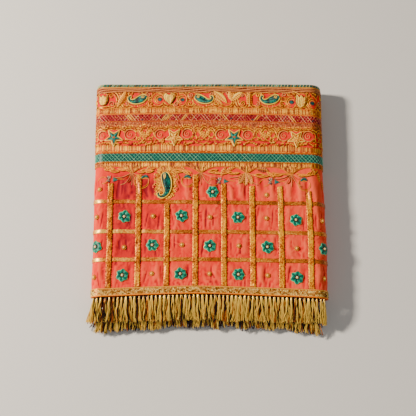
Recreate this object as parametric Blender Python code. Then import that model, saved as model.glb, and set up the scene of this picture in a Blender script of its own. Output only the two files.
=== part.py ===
"""A folded embroidered veil as closed solids, in metres with +Z up.

One outer cloth face is wrapped over a rounded body of folded layers. Sewn bands, ribbons, flowers, motifs and a hem
braid lie on the face, and three rows of fringe hang from the hems. Lengths below are in millimetres; u runs across
the cloth, v along it, and lift is the height over the face.
"""

import math

import bpy
import numpy as np
from mathutils.geometry import delaunay_2d_cdt

MM = 0.001

# Packet
WIDTH = 325.0
THICK = 40.0
R_LEFT = 13.25
R_RIGHT = 20.0
R_BACK = 6.5
CORNER_CUT = 0.3
BACK_FLAT = 171.5
HEM = -128.6
WALL = 1.6
SEAM = 0.3
X_LEFT = -WIDTH / 2 + R_LEFT
X_RIGHT = WIDTH / 2 - R_RIGHT
LEFT_STEPS = 8
LEFT_TURN = math.radians(160.0)
RIGHT_STEPS = 8
RIGHT_TURN = math.radians(150.0)
BACK_STEPS = 5
BACK_TURN = math.radians(150.0)

# Ribbons
RIBBON_PITCH = 39.6
RIBBON_WIDTH = 7.4
RIBBON_RAISE = 0.9
RIBBON_FOOT = -117.3
RIBBON_TOPS = (28.6, 41.2, -0.7, 41.2, 28.6, 25.7, 25.7, 19.9)
CROSS_ROWS = (-79.9, -40.5, 1.9)
CROSS_WIDTH = 4.8
CROSS_RAISE = 0.7
CROSS_HALF = 2.6
CROSS_RAMP = 6.0
RIBBON_U = tuple((k - 3.5) * RIBBON_PITCH for k in range(8))

# Bands: name, lower edge, upper edge, raise, rows of cells
BANDS = (
    ("green_lattice_band", 59.35, 73.35, 0.9, 1),
    ("star_band", 73.65, 119.45, 0.6, 2),
    ("red_lattice_band", 119.75, 130.95, 0.9, 1),
    ("scroll_band", 131.25, 164.25, 0.6, 2),
)
TOP_BAND_LOW = 164.55
TOP_BAND_TURN = math.radians(105.0)
TOP_BAND_RAISE = 0.8
EDGING_HIGH = 59.05
EDGING_LOW = 53.6
EDGING_RAISE = 0.5
# Points that hang under the edging: centre u, half width, depth
EDGING_DROPS = (
    (-109.4, 24.0, 10.2),
    (-60.7, 24.0, 10.6),
    (-12.5, 24.0, 9.6),
    (52.8, 24.0, 9.6),
    (114.8, 24.0, 10.6),
)
BRAID_LOW = -128.3
BRAID_HIGH = -117.6
BRAID_RAISE = 1.2

# Flowers: u, v
FLOWERS = (
    (4.6, 16.5),
    (-118.4, -19.6),
    (-39.0, -18.0),
    (39.6, -19.6),
    (119.6, -21.8),
    (-157.6, -61.6),
    (-79.0, -59.8),
    (0.6, -60.6),
    (79.6, -61.2),
    (157.8, -61.2),
    (-119.4, -101.0),
    (-40.0, -100.6),
    (39.6, -100.6),
    (119.4, -102.4),
)
FLOWER_TIP = 8.8
FLOWER_NOTCH = 6.0
FLOWER_LIFT = 0.35
FLOWER_FOLD_LIFT = 0.5
FLOWER_RISE = 2.5
CALM_INNER = 12.8
CALM_OUTER = 21.0

# Paisleys: centre u, v, length, breadth, turn in degrees, side the tail curls to
PAISLEYS = (
    (-103.0, 153.6, 27.0, 1.0, 186.0, -1.0),
    (-8.0, 153.6, 27.0, 1.0, -6.0, 1.0),
    (87.2, 153.6, 28.0, 1.0, 184.0, -1.0),
    (-61.5, 25.5, 38.0, 0.85, -101.0, -1.0),
)
# A paisley's middle line from head to tail, as shares of its length: along, aside, half width
PAISLEY_SPINE = np.array(
    (
        (-0.47, 0.13, 0.03),
        (-0.43, 0.11, 0.12),
        (-0.33, 0.07, 0.175),
        (-0.19, 0.0, 0.2),
        (-0.03, -0.06, 0.18),
        (0.13, -0.1, 0.135),
        (0.28, -0.09, 0.09),
        (0.4, -0.02, 0.06),
        (0.45, 0.09, 0.045),
        (0.41, 0.18, 0.035),
        (0.33, 0.2, 0.02),
    )
)
CREST_SHARE = 0.5
PAISLEY_RAISE = 1.3
MOTIF_LIFT = 1.25

# Stars: centre u, v, radius
STARS = ((-135.7, 96.0, 11.8), (-50.2, 96.0, 11.4), (35.2, 96.0, 11.8), (124.0, 95.6, 11.4))
STAR_RAISE = 1.1
STAR_WAIST = 0.42
STAR_CREST = 0.6

# Creases of the field: u, lower v, upper v, half width, height
CREASES = (
    (-126.0, -58.0, -30.0, 6.0, 0.5),
    (-110.5, -10.0, 34.0, 6.0, 0.55),
    (-127.0, 0.0, 32.0, 6.0, -0.3),
    (-87.5, -50.0, -8.0, 6.0, 0.45),
    (-70.8, -112.0, -84.0, 6.0, 0.7),
    (-79.2, 4.0, 38.0, 6.0, -0.35),
    (-48.0, -58.0, -30.0, 6.0, 0.45),
    (-31.2, -112.0, -86.0, 6.0, -0.3),
    (-31.2, -6.0, 36.0, 6.0, 0.55),
    (-8.4, -40.0, -6.0, 6.0, 0.5),
    (8.4, -112.0, -84.0, 6.0, 0.65),
    (0.0, -36.0, -6.0, 6.0, 0.35),
    (31.2, -6.0, 34.0, 6.0, 0.5),
    (48.0, -72.0, -44.0, 6.0, 0.5),
    (47.5, 4.0, 36.0, 6.0, 0.5),
    (70.8, -112.0, -86.0, 6.0, 0.7),
    (79.2, -36.0, -4.0, 6.0, 0.4),
    (87.6, 0.0, 36.0, 6.0, 0.55),
    (110.4, -76.0, -44.0, 6.0, 0.5),
    (127.2, -6.0, 36.0, 6.0, 0.7),
    (110.4, 2.0, 36.0, 6.0, 0.45),
    (-150.0, -112.0, -80.0, 6.0, 0.45),
    (-150.5, -50.0, 10.0, 6.0, 0.35),
    (149.0, -44.0, 34.0, 6.0, 0.6),
    (149.0, -112.0, -78.0, 6.0, 0.5),
)
CALM_ABOVE = 38.0
CALM_BELOW = -111.0

# Bow of the lines across the packet: y, rise at the middle, tilt, rise lost at the sides
BOW = np.array(
    (
        (-178.0, 2.4, -1.2, 5.2),
        (-123.0, 2.4, -1.2, 5.2),
        (-79.9, 1.4, -1.5, 2.1),
        (-40.5, 0.6, -1.4, 0.9),
        (1.9, 0.2, -2.0, 0.5),
        (66.0, 1.0, -0.9, 1.5),
        (125.0, 1.6, -1.2, 3.2),
        (155.0, 0.5, -0.4, 1.0),
        (178.0, 0.0, 0.0, 0.0),
    )
)

# How far each fold edge stands out along its length: y, left edge, right edge
EDGE_LINES = np.array(
    (
        (-178.0, -0.4, 0.4),
        (-116.0, 0.3, 0.9),
        (-58.0, -0.3, 2.0),
        (0.0, 0.4, 0.8),
        (66.0, -0.2, -1.2),
        (120.0, 0.3, -1.0),
        (178.0, 0.1, -1.2),
    )
)

# Fringe rows: name, strip front y, strip height z, first x or u, last x or u, locks, reach, drop, seed, flare of
# the left end and of the right end
LOCK_ROOT = (3.6, 2.2)
LOCK_MIDDLE = (4.6, 2.8)
LOCK_TIP = (3.2, 1.4)
STRIP_DEPTH = 2.4
FLARE_LOCKS = 3.5
ROWS = (
    ("fringe_top", -131.3, None, -162.2, 160.2, 56, 30.0, 15.5, 5, 5.0, 0.8),
    ("fringe_second", -144.0, 24.0, -154.0, 147.0, 52, 31.0, 14.5, 8, 5.5, 4.0),
    ("fringe_floor", -138.4, 4.6, -155.0, 147.0, 40, 27.0, 2.4, 11, 3.0, 3.0),
)

# Folded layers under the face: clearance inside the wall and front and back lines of the three thirds
CORE = WALL + SEAM
FOLD_ROOM = 0.4
TOP_FRONT = -126.0
MIDDLE_FRONT = -141.2
BOTTOM_FRONT = -135.6
FREE_EDGE = -161.0
BOTTOM_BACK = 170.3
MIDDLE_BACK = 170.9
CORE_BACK = 171.2
MIDDLE_END = 133.0
MIDDLE_START = -148.4

# Levels of the folded layers: z, step of the free edge, step of the front, kind of third
LEVELS = (
    (0.0, 2.6, 1.4, "bottom"),
    (0.9, 0.6, 0.3, "bottom"),
    (2.4, 0.0, 0.0, "bottom"),
    (3.3, 1.5, 1.3, "bottom"),
    (4.6, 0.2, 0.1, "bottom"),
    (6.5, 1.9, 1.5, "bottom"),
    (8.1, 0.6, 0.4, "bottom"),
    (9.8, 2.1, 1.6, "bottom"),
    (11.6, 0.5, 0.5, "bottom"),
    (13.0, 2.2, 1.8, "bottom"),
    (13.3, 13.5, 5.0, "gap"),
    (14.4, 0.0, 1.2, "middle"),
    (15.4, 0.0, 0.4, "middle"),
    (16.8, 0.0, 0.0, "middle"),
    (18.4, 0.0, 1.3, "middle"),
    (20.0, 0.0, 0.0, "middle"),
    (23.2, 0.0, 0.1, "middle"),
    (25.6, 0.0, 0.8, "middle"),
    (26.5, 0.0, 2.0, "middle"),
    (27.0, 0.0, 2.0, "top"),
    (28.6, 0.0, 0.0, "top"),
    (30.2, 0.0, 1.2, "top"),
    (32.0, 0.0, 0.0, "top"),
    (34.4, 0.0, 1.2, "top"),
    (36.6, 0.0, 0.2, "top"),
    (THICK - CORE, 0.0, 0.6, "top"),
)

COLOURS = {
    "coral cloth": ((0.72, 0.13, 0.075, 1.0), 0.8),
    "folded layers": ((0.5, 0.12, 0.06, 1.0), 0.85),
    "gold embroidery": ((0.6, 0.27, 0.08, 1.0), 0.55),
    "brown gold embroidery": ((0.5, 0.19, 0.06, 1.0), 0.6),
    "green lattice": ((0.03, 0.2, 0.15, 1.0), 0.6),
    "red lattice": ((0.4, 0.03, 0.025, 1.0), 0.6),
    "gold ribbon": ((0.62, 0.27, 0.05, 1.0), 0.4),
    "copper ribbon": ((0.5, 0.19, 0.05, 1.0), 0.45),
    "green ribbon": ((0.0, 0.25, 0.18, 1.0), 0.5),
    "gold fringe": ((0.5, 0.27, 0.06, 1.0), 0.5),
}


def place(u, v, lift=0.0):
    """The point of the packet at u, v and lift, before it settles."""
    u, v, lift = np.broadcast_arrays(np.asarray(u, float), v, lift)
    turn = np.clip((v - BACK_FLAT) / R_BACK, 0, None)
    sunk = R_BACK * (1 - np.cos(turn))
    out = lift * np.cos(turn)
    depth = sunk - out
    y = np.minimum(v, BACK_FLAT) + (R_BACK + lift) * np.sin(turn)
    left = np.clip((X_LEFT - u) / R_LEFT, 0, None)
    right = np.clip((u - X_RIGHT) / R_RIGHT, 0, None)
    spare = out - CORNER_CUT * sunk
    x = np.clip(u, X_LEFT, X_RIGHT) - (R_LEFT + spare) * np.sin(left) + (R_RIGHT + spare) * np.sin(right)
    z = THICK - depth + (R_LEFT - depth) * (np.cos(left) - 1) + (R_RIGHT - depth) * (np.cos(right) - 1)
    return np.stack((x, y, z), axis=-1)


def settle(points):
    """Gives the straight packet its bowed lines, uneven fold edges and slight sag."""
    p = np.array(points, float)
    x, y, z = p[..., 0].copy(), p[..., 1].copy(), p[..., 2].copy()
    share = np.clip(z / THICK, 0, 1.1)
    side = x / (WIDTH / 2)
    middle, tilt, lost = (np.interp(y, BOW[:, 0], BOW[:, k]) for k in (1, 2, 3))
    wave = 0.5 * np.sin(x / 45 + 0.8) * np.clip((y - 60) / 110, 0, 1) ** 2
    wave += 0.5 * np.sin(x / 33 + 2.2) * np.clip((-60 - y) / 60, 0, 1) ** 2
    p[..., 1] += middle + tilt * side - lost * side**2 + wave
    left = np.interp(y, EDGE_LINES[:, 0], EDGE_LINES[:, 1])
    right = np.interp(y, EDGE_LINES[:, 0], EDGE_LINES[:, 2])
    p[..., 0] += right * np.clip((x - 50) / 110, 0, 1) ** 2 - left * np.clip((-x - 50) / 110, 0, 1) ** 2
    rise = 0.45 * np.sin(x / 48 + 0.7) * np.cos(y / 55 + 0.3)
    rise -= 1.5 * np.clip((-75 - y) / 55, 0, 1) ** 2
    rise -= 0.5 * side**2
    p[..., 2] += share * rise
    return p


def crease_at(u, v):
    """Height of the field's creases over the plain face."""
    u, v = np.broadcast_arrays(np.asarray(u, float), v)
    total = np.zeros(u.shape)
    for at, low, high, half, height in CREASES:
        fade = np.clip(np.minimum(v - low, high - v) / 9.0 + 0.5, 0, 1)
        total += height * fade * np.exp(-(((u - at) / half) ** 2))
    total *= np.clip((CALM_ABOVE - v) / 6.0, 0, 1) * np.clip((v - CALM_BELOW) / 6.0, 0, 1)
    for at_u, at_v in FLOWERS:
        away = np.hypot(u - at_u, v - at_v)
        total *= np.clip((away - CALM_INNER) / (CALM_OUTER - CALM_INNER), 0, 1)
    hanging = np.clip((np.abs(u - PAISLEYS[3][0]) - 14.0) / 8.0, 0, 1)
    total *= np.where(v > 2.0, hanging, 1.0)
    return total


def surface(u, v, lift=0.0):
    """A point over the creased face, settled."""
    return settle(place(u, v, crease_at(u, v) + lift))


def across_stations():
    """u values of the face: fold steps, ribbon edges and three more between ribbons."""
    left = [X_LEFT - R_LEFT * LEFT_TURN * k / LEFT_STEPS for k in range(LEFT_STEPS, -1, -1)]
    flat = []
    for k, centre in enumerate(RIBBON_U):
        flat += [centre - RIBBON_WIDTH / 2, centre + RIBBON_WIDTH / 2]
        if k < len(RIBBON_U) - 1:
            gap = RIBBON_PITCH - RIBBON_WIDTH
            flat += [centre + RIBBON_WIDTH / 2 + gap * part for part in (0.25, 0.5, 0.75)]
    flat = [value for value in flat if value < X_RIGHT - 0.5]
    right = [X_RIGHT + R_RIGHT * RIGHT_TURN * k / RIGHT_STEPS for k in range(RIGHT_STEPS + 1)]
    fine = left + flat + right
    coarse = left + [value for k, value in enumerate(flat) if k % 5 in (0, 3)] + right
    return np.array(fine), np.array(coarse)


FINE, COARSE = across_stations()


def field_rows():
    """v values of the creased part of the face."""
    rows = [HEM, RIBBON_FOOT, -111.0, -102.5, -94.0]
    for k, row in enumerate(CROSS_ROWS):
        rows += [row - CROSS_RAMP, row - CROSS_HALF, row + CROSS_HALF, row + CROSS_RAMP]
        if k < len(CROSS_ROWS) - 1:
            start, stop = row + CROSS_RAMP, CROSS_ROWS[k + 1] - CROSS_RAMP
            rows += [start + (stop - start) * part for part in (1 / 3, 2 / 3)]
    return np.array(rows + [18.0, 28.0, CALM_ABOVE])


FIELD = field_rows()
BACK_ARC = [BACK_FLAT + R_BACK * BACK_TURN * k / BACK_STEPS for k in range(1, BACK_STEPS + 1)]
UPPER = np.array([59.2, 85.0, 107.3, 131.1, 152.0, BACK_FLAT] + BACK_ARC)


class Body:
    """Points and triangles of one closed solid."""

    def __init__(self):
        self.points = []
        self.faces = []

    def add(self, points):
        start = len(self.points)
        self.points.extend(np.asarray(points, float).reshape(-1, 3).tolist())
        return np.arange(start, len(self.points))

    def quad(self, a, b, c, d):
        self.faces.append((int(a), int(b), int(c)))
        self.faces.append((int(a), int(c), int(d)))

    def grid(self, index, flip=False):
        """Faces of a grid of indices whose first axis runs along u and second along v."""
        for i in range(index.shape[0] - 1):
            for j in range(index.shape[1] - 1):
                a, b, c, d = index[i, j], index[i + 1, j], index[i + 1, j + 1], index[i, j + 1]
                if flip:
                    self.faces.append((int(a), int(c), int(b)))
                    self.faces.append((int(a), int(d), int(c)))
                else:
                    self.quad(a, b, c, d)

    def stitch(self, first, second, at_first, at_second):
        """Joins two lines of points that run the same way; first lies to the right of second."""
        i = j = 0
        while i < len(first) - 1 or j < len(second) - 1:
            step = j == len(second) - 1 or (i < len(first) - 1 and at_first[i + 1] <= at_second[j + 1])
            if step:
                self.faces.append((int(first[i]), int(first[i + 1]), int(second[j])))
                i += 1
            else:
                self.faces.append((int(first[i]), int(second[j + 1]), int(second[j])))
                j += 1

    def make(self, name, colour, smooth_below=40.0):
        mesh = bpy.data.meshes.new(name)
        mesh.from_pydata([[c * MM for c in p] for p in self.points], [], self.faces)
        mesh.polygons.foreach_set("use_smooth", [True] * len(mesh.polygons))
        mesh.set_sharp_from_angle(angle=math.radians(smooth_below))
        mesh.materials.append(material(colour))
        mesh.update()
        thing = bpy.data.objects.new(name, mesh)
        bpy.context.scene.collection.objects.link(thing)
        return thing


def material(colour):
    found = bpy.data.materials.get(colour)
    if found:
        return found
    made = bpy.data.materials.new(colour)
    made.use_nodes = True
    shader = made.node_tree.nodes["Principled BSDF"]
    base, rough = COLOURS[colour]
    shader.inputs["Base Color"].default_value = base
    shader.inputs["Roughness"].default_value = rough
    made.diffuse_color = base
    return made


def sheet(top, bottom):
    """A closed strip between two matching grids of points."""
    body = Body()
    shape = top.shape[:2]
    upper = body.add(top).reshape(shape)
    lower = body.add(bottom).reshape(shape)
    body.grid(upper)
    body.grid(lower, flip=True)
    for j, turned in ((0, False), (shape[1] - 1, True)):
        for i in range(shape[0] - 1):
            ring = (lower[i, j], lower[i + 1, j], upper[i + 1, j], upper[i, j])
            body.quad(*(ring[::-1] if turned else ring))
    for i, turned in ((0, True), (shape[0] - 1, False)):
        for j in range(shape[1] - 1):
            ring = (lower[i, j], lower[i, j + 1], upper[i, j + 1], upper[i, j])
            body.quad(*(ring[::-1] if turned else ring))
    return body


def strip_on_face(u_values, v_values, lift, raise_by):
    u, v = np.meshgrid(u_values, v_values, indexing="ij")
    return sheet(surface(u, v, lift + raise_by), surface(u, v, lift))


def veil_face():
    body = Body()
    fu, fv = np.meshgrid(FINE, FIELD, indexing="ij")
    field = body.add(surface(fu, fv)).reshape(fu.shape)
    cu, cv = np.meshgrid(COARSE, UPPER, indexing="ij")
    upper = body.add(surface(cu, cv)).reshape(cu.shape)
    inner_rows = np.array([HEM, -100.0, -70.0, -40.0, -10.0, 20.0, 50.0, 85.0, 131.1, BACK_FLAT] + BACK_ARC)
    iu, iv = np.meshgrid(COARSE, inner_rows, indexing="ij")
    inner = body.add(settle(place(iu, iv, -WALL))).reshape(iu.shape)
    body.grid(field)
    body.grid(upper)
    body.stitch(field[:, -1], upper[:, 0], FINE, COARSE)
    body.grid(inner, flip=True)
    rows = np.concatenate((FIELD, UPPER))
    body.stitch(inner[:, 0], field[:, 0], COARSE, FINE)
    body.stitch(upper[:, -1], inner[:, -1], COARSE, COARSE)
    left = np.concatenate((field[0], upper[0]))
    right = np.concatenate((field[-1], upper[-1]))
    body.stitch(left, inner[0], rows, inner_rows)
    body.stitch(inner[-1], right, inner_rows, rows)
    return body


def core_left(z):
    reach = R_LEFT - CORE - FOLD_ROOM
    level = abs(z - (THICK - R_LEFT))
    return X_LEFT - math.sqrt(max(reach**2 - level**2, 0.0))


def core_right(z, full=False):
    reach = R_RIGHT if full else R_RIGHT - CORE - FOLD_ROOM
    level = abs(z - (THICK - R_RIGHT))
    return X_RIGHT + math.sqrt(max(reach**2 - level**2, 0.0))


def bulge(z, centre):
    return math.sqrt(max(R_BACK**2 - (z - centre) ** 2, 0.0))


def layer_line(z, free_step, front_step, kind):
    """Outline of the folded layers at one level, anticlockwise from the front left corner."""
    round_in = 4.0
    if kind in ("bottom", "gap"):
        left = FREE_EDGE + free_step
        right = core_right(z, full=z < 2.5)
        front = BOTTOM_FRONT + front_step
        front_right = min(149.0, right - 0.5)
        back = BOTTOM_BACK + bulge(z, R_BACK)
        back_left = left + 2.5
        back_right = min(right - 1.5, 153.0 - 0.62 * max(z - 2.7, 0.0) - 0.8)
        shoulder = back - 1.5
    elif kind == "middle":
        left = core_left(z)
        right = core_right(z)
        front = MIDDLE_FRONT + front_step
        front_right = 148.0
        back = MIDDLE_BACK + bulge(z, THICK / 2)
        back_left = max(MIDDLE_START, left + 1.6)
        back_right = MIDDLE_END
        shoulder = CORE_BACK
    else:
        left = core_left(z)
        right = core_right(z)
        front = TOP_FRONT + front_step
        front_right = right - 4.0
        back = CORE_BACK
        back_left = left + 2.0
        back_right = MIDDLE_END
        shoulder = CORE_BACK
    if kind == "gap":
        back = CORE_BACK - 1.0
        shoulder = back
    points = [(left, front + round_in), (left + 1.2, front + 1.2), (left + round_in, front)]
    for k in range(1, 9):
        x = left + round_in + (front_right - 2 * round_in - left) * k / 9
        points.append((x, front + 0.25 * (1 + math.sin(k * 2.3 + z * 1.7))))
    points += [(front_right - round_in, front), (front_right - 1.2, front + 1.2)]
    bend = max(front + round_in, TOP_FRONT - 1.5 + 0.1) if kind != "top" else front + 0.3
    points.append((front_right, min(front + round_in, bend) if kind != "top" else front + 0.1))
    points.append((front_right + 0.05, bend + 0.2))
    points += [(max(right - 2.0, front_right + 0.2), bend + 0.4), (right, bend + 3.0)]
    for y in (-80.0, -30.0, 20.0, 70.0, 120.0):
        points.append((right, y))
    points += [(right, CORE_BACK - 2.0), (right - 0.7, CORE_BACK), (back_right + 0.6, CORE_BACK)]
    points.append((back_right, max(back, CORE_BACK)))
    for k in range(1, 8):
        x = back_right + (back_left - back_right) * k / 8
        points.append((x, back + 0.3 * math.sin(k * 1.9 + z * 0.35)))
    points.append((back_left, back))
    if kind in ("bottom", "gap"):
        points += [(back_left - 1.7, shoulder), (left + 0.2, shoulder - 2.0), (left, shoulder - 4.0)]
    else:
        points += [(back_left - 0.6, CORE_BACK), (left + 0.7, CORE_BACK), (left, CORE_BACK - 2.0)]
    for k, y in enumerate((120.0, 70.0, 20.0, -30.0, -80.0, -115.0)):
        loose = 0.35 * math.sin(k * 1.7 + z * 2.1) if kind == "bottom" and z > 0.5 else 0.0
        points.append((left + loose, y))
    return np.array(points)


def inner_layers():
    body = Body()
    rings = []
    lines = []
    for level in LEVELS:
        line = layer_line(*level)
        lines.append(line)
        points = np.column_stack((line, np.full(len(line), level[0])))
        rings.append(body.add(settle(points)))
    count = len(rings[0])
    for low, high in zip(rings, rings[1:]):
        for i in range(count):
            k = (i + 1) % count
            body.quad(low[i], low[k], high[k], high[i])
    for ring, line, z, turned in ((rings[0], lines[0], LEVELS[0][0], True), (rings[-1], lines[-1], LEVELS[-1][0], False)):
        inside = []
        if not turned:
            inside = [(x, y) for x in np.linspace(-130, 125, 7) for y in np.linspace(-105, 150, 7)]
        flat = [tuple(p) for p in line] + inside
        edges = [(i, (i + 1) % count) for i in range(count)]
        found, _, faces, original, _, _ = delaunay_2d_cdt(flat, edges, [], 1, 1e-6)
        index = {}
        if inside:
            extra = body.add(settle([(x, y, z) for x, y in inside]))
            index = {count + k: extra[k] for k in range(len(inside))}
        for face in faces:
            names = [original[k][0] for k in face]
            real = [int(ring[k]) if k < count else int(index[k]) for k in names]
            body.faces.append(tuple(real[::-1] if turned else real))
    return body


def ribbon_lift(v):
    """The long ribbons rise over each cross ribbon."""
    over = CROSS_RAISE + SEAM
    away = np.min([np.abs(v - row) for row in CROSS_ROWS], axis=0)
    return SEAM + over * np.clip((CROSS_RAMP - away) / (CROSS_RAMP - CROSS_HALF), 0, 1)


def ribbons():
    for k, (centre, top) in enumerate(zip(RIBBON_U, RIBBON_TOPS)):
        rows = [row for row in FIELD if RIBBON_FOOT < row < top - 1.0]
        rows = np.array([RIBBON_FOOT + SEAM] + rows + [top])
        edges = np.array([centre - RIBBON_WIDTH / 2, centre + RIBBON_WIDTH / 2])
        u, v = np.meshgrid(edges, rows, indexing="ij")
        lift = ribbon_lift(v)
        body = sheet(ridge(u, v, lift + RIBBON_RAISE), ridge(u, v, lift))
        body.make(f"ribbon_v_{k + 1}", "gold ribbon")


def ridge(u, v, lift):
    """Points over the face where u or v may fall between the face's own stations."""
    return settle(place(u, v, station_crease(u, v) + lift))


def station_crease(u, v):
    """The crease height as the face's own grid has it, so that trim runs level with the face."""
    u, v = np.broadcast_arrays(np.asarray(u, float), v)
    grid = crease_at(*np.meshgrid(FINE, FIELD, indexing="ij"))
    inside = np.clip(v, FIELD[0], FIELD[-1])
    i = np.clip(np.searchsorted(FINE, u) - 1, 0, len(FINE) - 2)
    j = np.clip(np.searchsorted(FIELD, inside) - 1, 0, len(FIELD) - 2)
    a = (u - FINE[i]) / (FINE[i + 1] - FINE[i])
    b = (inside - FIELD[j]) / (FIELD[j + 1] - FIELD[j])
    low = grid[i, j] * (1 - a) + grid[i + 1, j] * a
    high = grid[i, j + 1] * (1 - a) + grid[i + 1, j + 1] * a
    return low * (1 - b) + high * b


def cross_ribbons():
    for k, row in enumerate(CROSS_ROWS):
        rows = np.array([row - CROSS_WIDTH / 2, row + CROSS_WIDTH / 2])
        stations = FINE[1:-1]
        u, v = np.meshgrid(stations, rows, indexing="ij")
        body = sheet(ridge(u, v, SEAM + CROSS_RAISE), ridge(u, v, SEAM))
        body.make(f"ribbon_h_{k + 1}", "copper ribbon")


def bands():
    colours = {"green_lattice_band": "green lattice", "red_lattice_band": "red lattice"}
    for name, low, high, raise_by, cells in BANDS:
        rows = np.linspace(low, high, cells + 1)
        strip_on_face(COARSE[1:-1], rows, SEAM, raise_by).make(name, colours.get(name, "brown gold embroidery"))
    step = R_BACK * BACK_TURN / BACK_STEPS
    arc = [BACK_FLAT + step * k for k in range(0, 4)] + [BACK_FLAT + R_BACK * TOP_BAND_TURN]
    rows = np.array([TOP_BAND_LOW] + arc)
    strip_on_face(COARSE[1:-1], rows, SEAM, TOP_BAND_RAISE).make("top_edge_band", "brown gold embroidery")
    rows = np.array([BRAID_LOW, BRAID_HIGH])
    strip_on_face(COARSE[1:-1], rows, SEAM, BRAID_RAISE).make("hem_braid", "gold embroidery")


def edging():
    """The border under the green band, with its hanging points."""
    folds = [u for u in COARSE[1:-1] if u <= X_LEFT or u >= X_RIGHT]
    flat = [18.0]
    for centre, half, _ in EDGING_DROPS:
        flat += [centre + half * share for share in (-0.95, -0.5, -0.2, 0.0, 0.2, 0.5, 0.95)]
    stations = np.array(sorted(folds + flat))
    low = np.full(len(stations), EDGING_LOW)
    for centre, half, depth in EDGING_DROPS:
        low -= depth * np.clip(1 - np.abs(stations - centre) / half, 0, 1) ** 1.8
    u = np.stack((stations, stations), axis=1)
    v = np.stack((low, np.full(len(low), EDGING_HIGH)), axis=1)
    sheet(surface(u, v, SEAM + EDGING_RAISE), surface(u, v, SEAM)).make("scallop_edging", "gold embroidery")


def flower(number, at_u, at_v):
    """Six petals round a dimple; the foot follows the face."""
    body = Body()
    folded = at_u < X_LEFT or at_u > X_RIGHT
    foot = FLOWER_FOLD_LIFT if folded else FLOWER_LIFT
    spin = 0.35 * number

    def ring(count, radii, lift):
        angle = spin + 2 * math.pi * np.arange(count) / count
        radius = np.array(radii)[np.arange(count) % len(radii)]
        return body.add(surface(at_u + radius * np.cos(angle), at_v + radius * np.sin(angle), lift))

    outer = ring(12, (FLOWER_TIP, FLOWER_NOTCH), foot)
    edge = ring(12, (FLOWER_TIP * 0.97, FLOWER_NOTCH * 0.95), foot + 0.9)
    crest = ring(12, (FLOWER_TIP * 0.55, FLOWER_NOTCH * 0.6), foot + FLOWER_RISE)
    middle = body.add(surface(at_u, at_v, foot + FLOWER_RISE * 0.55))[0]
    base = body.add(surface(at_u, at_v, foot))[0]
    under = ring(12, (FLOWER_TIP * 0.5,), foot) if folded else None
    for i in range(12):
        k = (i + 1) % 12
        body.quad(outer[i], outer[k], edge[k], edge[i])
        body.quad(edge[i], edge[k], crest[k], crest[i])
        body.faces.append((int(crest[i]), int(crest[k]), int(middle)))
        if folded:
            body.quad(outer[k], outer[i], under[i], under[k])
        low = under if folded else outer
        body.faces.append((int(low[k]), int(low[i]), int(base)))
    body.make(f"flower_{number + 1}", "green ribbon")


def paisley_line(length, breadth, curl, share):
    """Outline of a comma with a curled tail, head towards minus x, at a share of its width."""
    along, aside, half = PAISLEY_SPINE.T * length
    ahead = np.gradient(PAISLEY_SPINE[:, :2], axis=0)
    ahead /= np.linalg.norm(ahead, axis=1)[:, None]
    out = np.column_stack((ahead[:, 1], -ahead[:, 0])) * half[:, None] * share * breadth
    spine = np.column_stack((along, aside))
    line = np.concatenate((spine + out, (spine - out)[::-1]))
    line[:, 1] *= curl
    return line if curl > 0 else line[::-1]


def motif(name, line, inner, at_u, at_v, turn, lift, raise_by, colour):
    """A raised patch with a bevelled rim: line is its outline and inner its crest's."""
    body = Body()
    c, s = math.cos(math.radians(turn)), math.sin(math.radians(turn))
    turned = np.array(((c, s), (-s, c)))
    line, inner = line @ turned, inner @ turned
    count = len(line)

    def ring(points, height):
        return body.add(surface(at_u + points[:, 0], at_v + points[:, 1], height))

    outer = ring(line, lift)
    edge = ring(line, lift + raise_by * 0.55)
    crest = ring(inner, lift + raise_by)
    for i in range(count):
        k = (i + 1) % count
        body.quad(outer[i], outer[k], edge[k], edge[i])
        body.quad(edge[i], edge[k], crest[k], crest[i])
    edges = [(i, (i + 1) % count) for i in range(count)]
    for loop, points, flip in ((crest, inner, False), (outer, line, True)):
        found, _, faces, original, _, _ = delaunay_2d_cdt([tuple(p) for p in points], edges, [], 1, 1e-6)
        for face in faces:
            real = [int(loop[original[k][0]]) for k in face]
            body.faces.append(tuple(real[::-1] if flip else real))
    body.make(name, colour)


def motifs():
    for k, (u, v, length, breadth, turn, curl) in enumerate(PAISLEYS):
        line = paisley_line(length, breadth, curl, 1.0)
        inner = paisley_line(length, breadth, curl, CREST_SHARE)
        motif(f"paisley_{k + 1}", line, inner, u, v, turn, MOTIF_LIFT, PAISLEY_RAISE, "green ribbon")
    for k, (u, v, radius) in enumerate(STARS):
        angle = -math.pi / 2 + math.pi * np.arange(10) / 5
        size = np.where(np.arange(10) % 2 == 0, radius, radius * STAR_WAIST)
        line = np.column_stack((size * np.cos(angle), size * np.sin(angle)))
        colour = "green ribbon" if k % 2 == 0 else "gold embroidery"
        motif(f"star_{k + 1}", line, line * STAR_CREST, u, v, 0.0, MOTIF_LIFT, STAR_RAISE, colour)


def strip_frame(stations, front, height):
    """Front corner lines of a fringe strip and the directions across and over it."""
    if height is None:
        root = place(stations, front, -0.7)
        ahead = place(stations + 0.5, front, -0.7) - place(stations - 0.5, front, -0.7)
        over = place(stations, front, 0.3) - place(stations, front, -0.7)
        return root, ahead, over
    root = np.column_stack((stations, np.full(len(stations), front), np.full(len(stations), height)))
    ahead = np.tile((1.0, 0.0, 0.0), (len(stations), 1))
    over = np.tile((0.0, 0.0, 1.0), (len(stations), 1))
    return root, ahead, over


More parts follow.
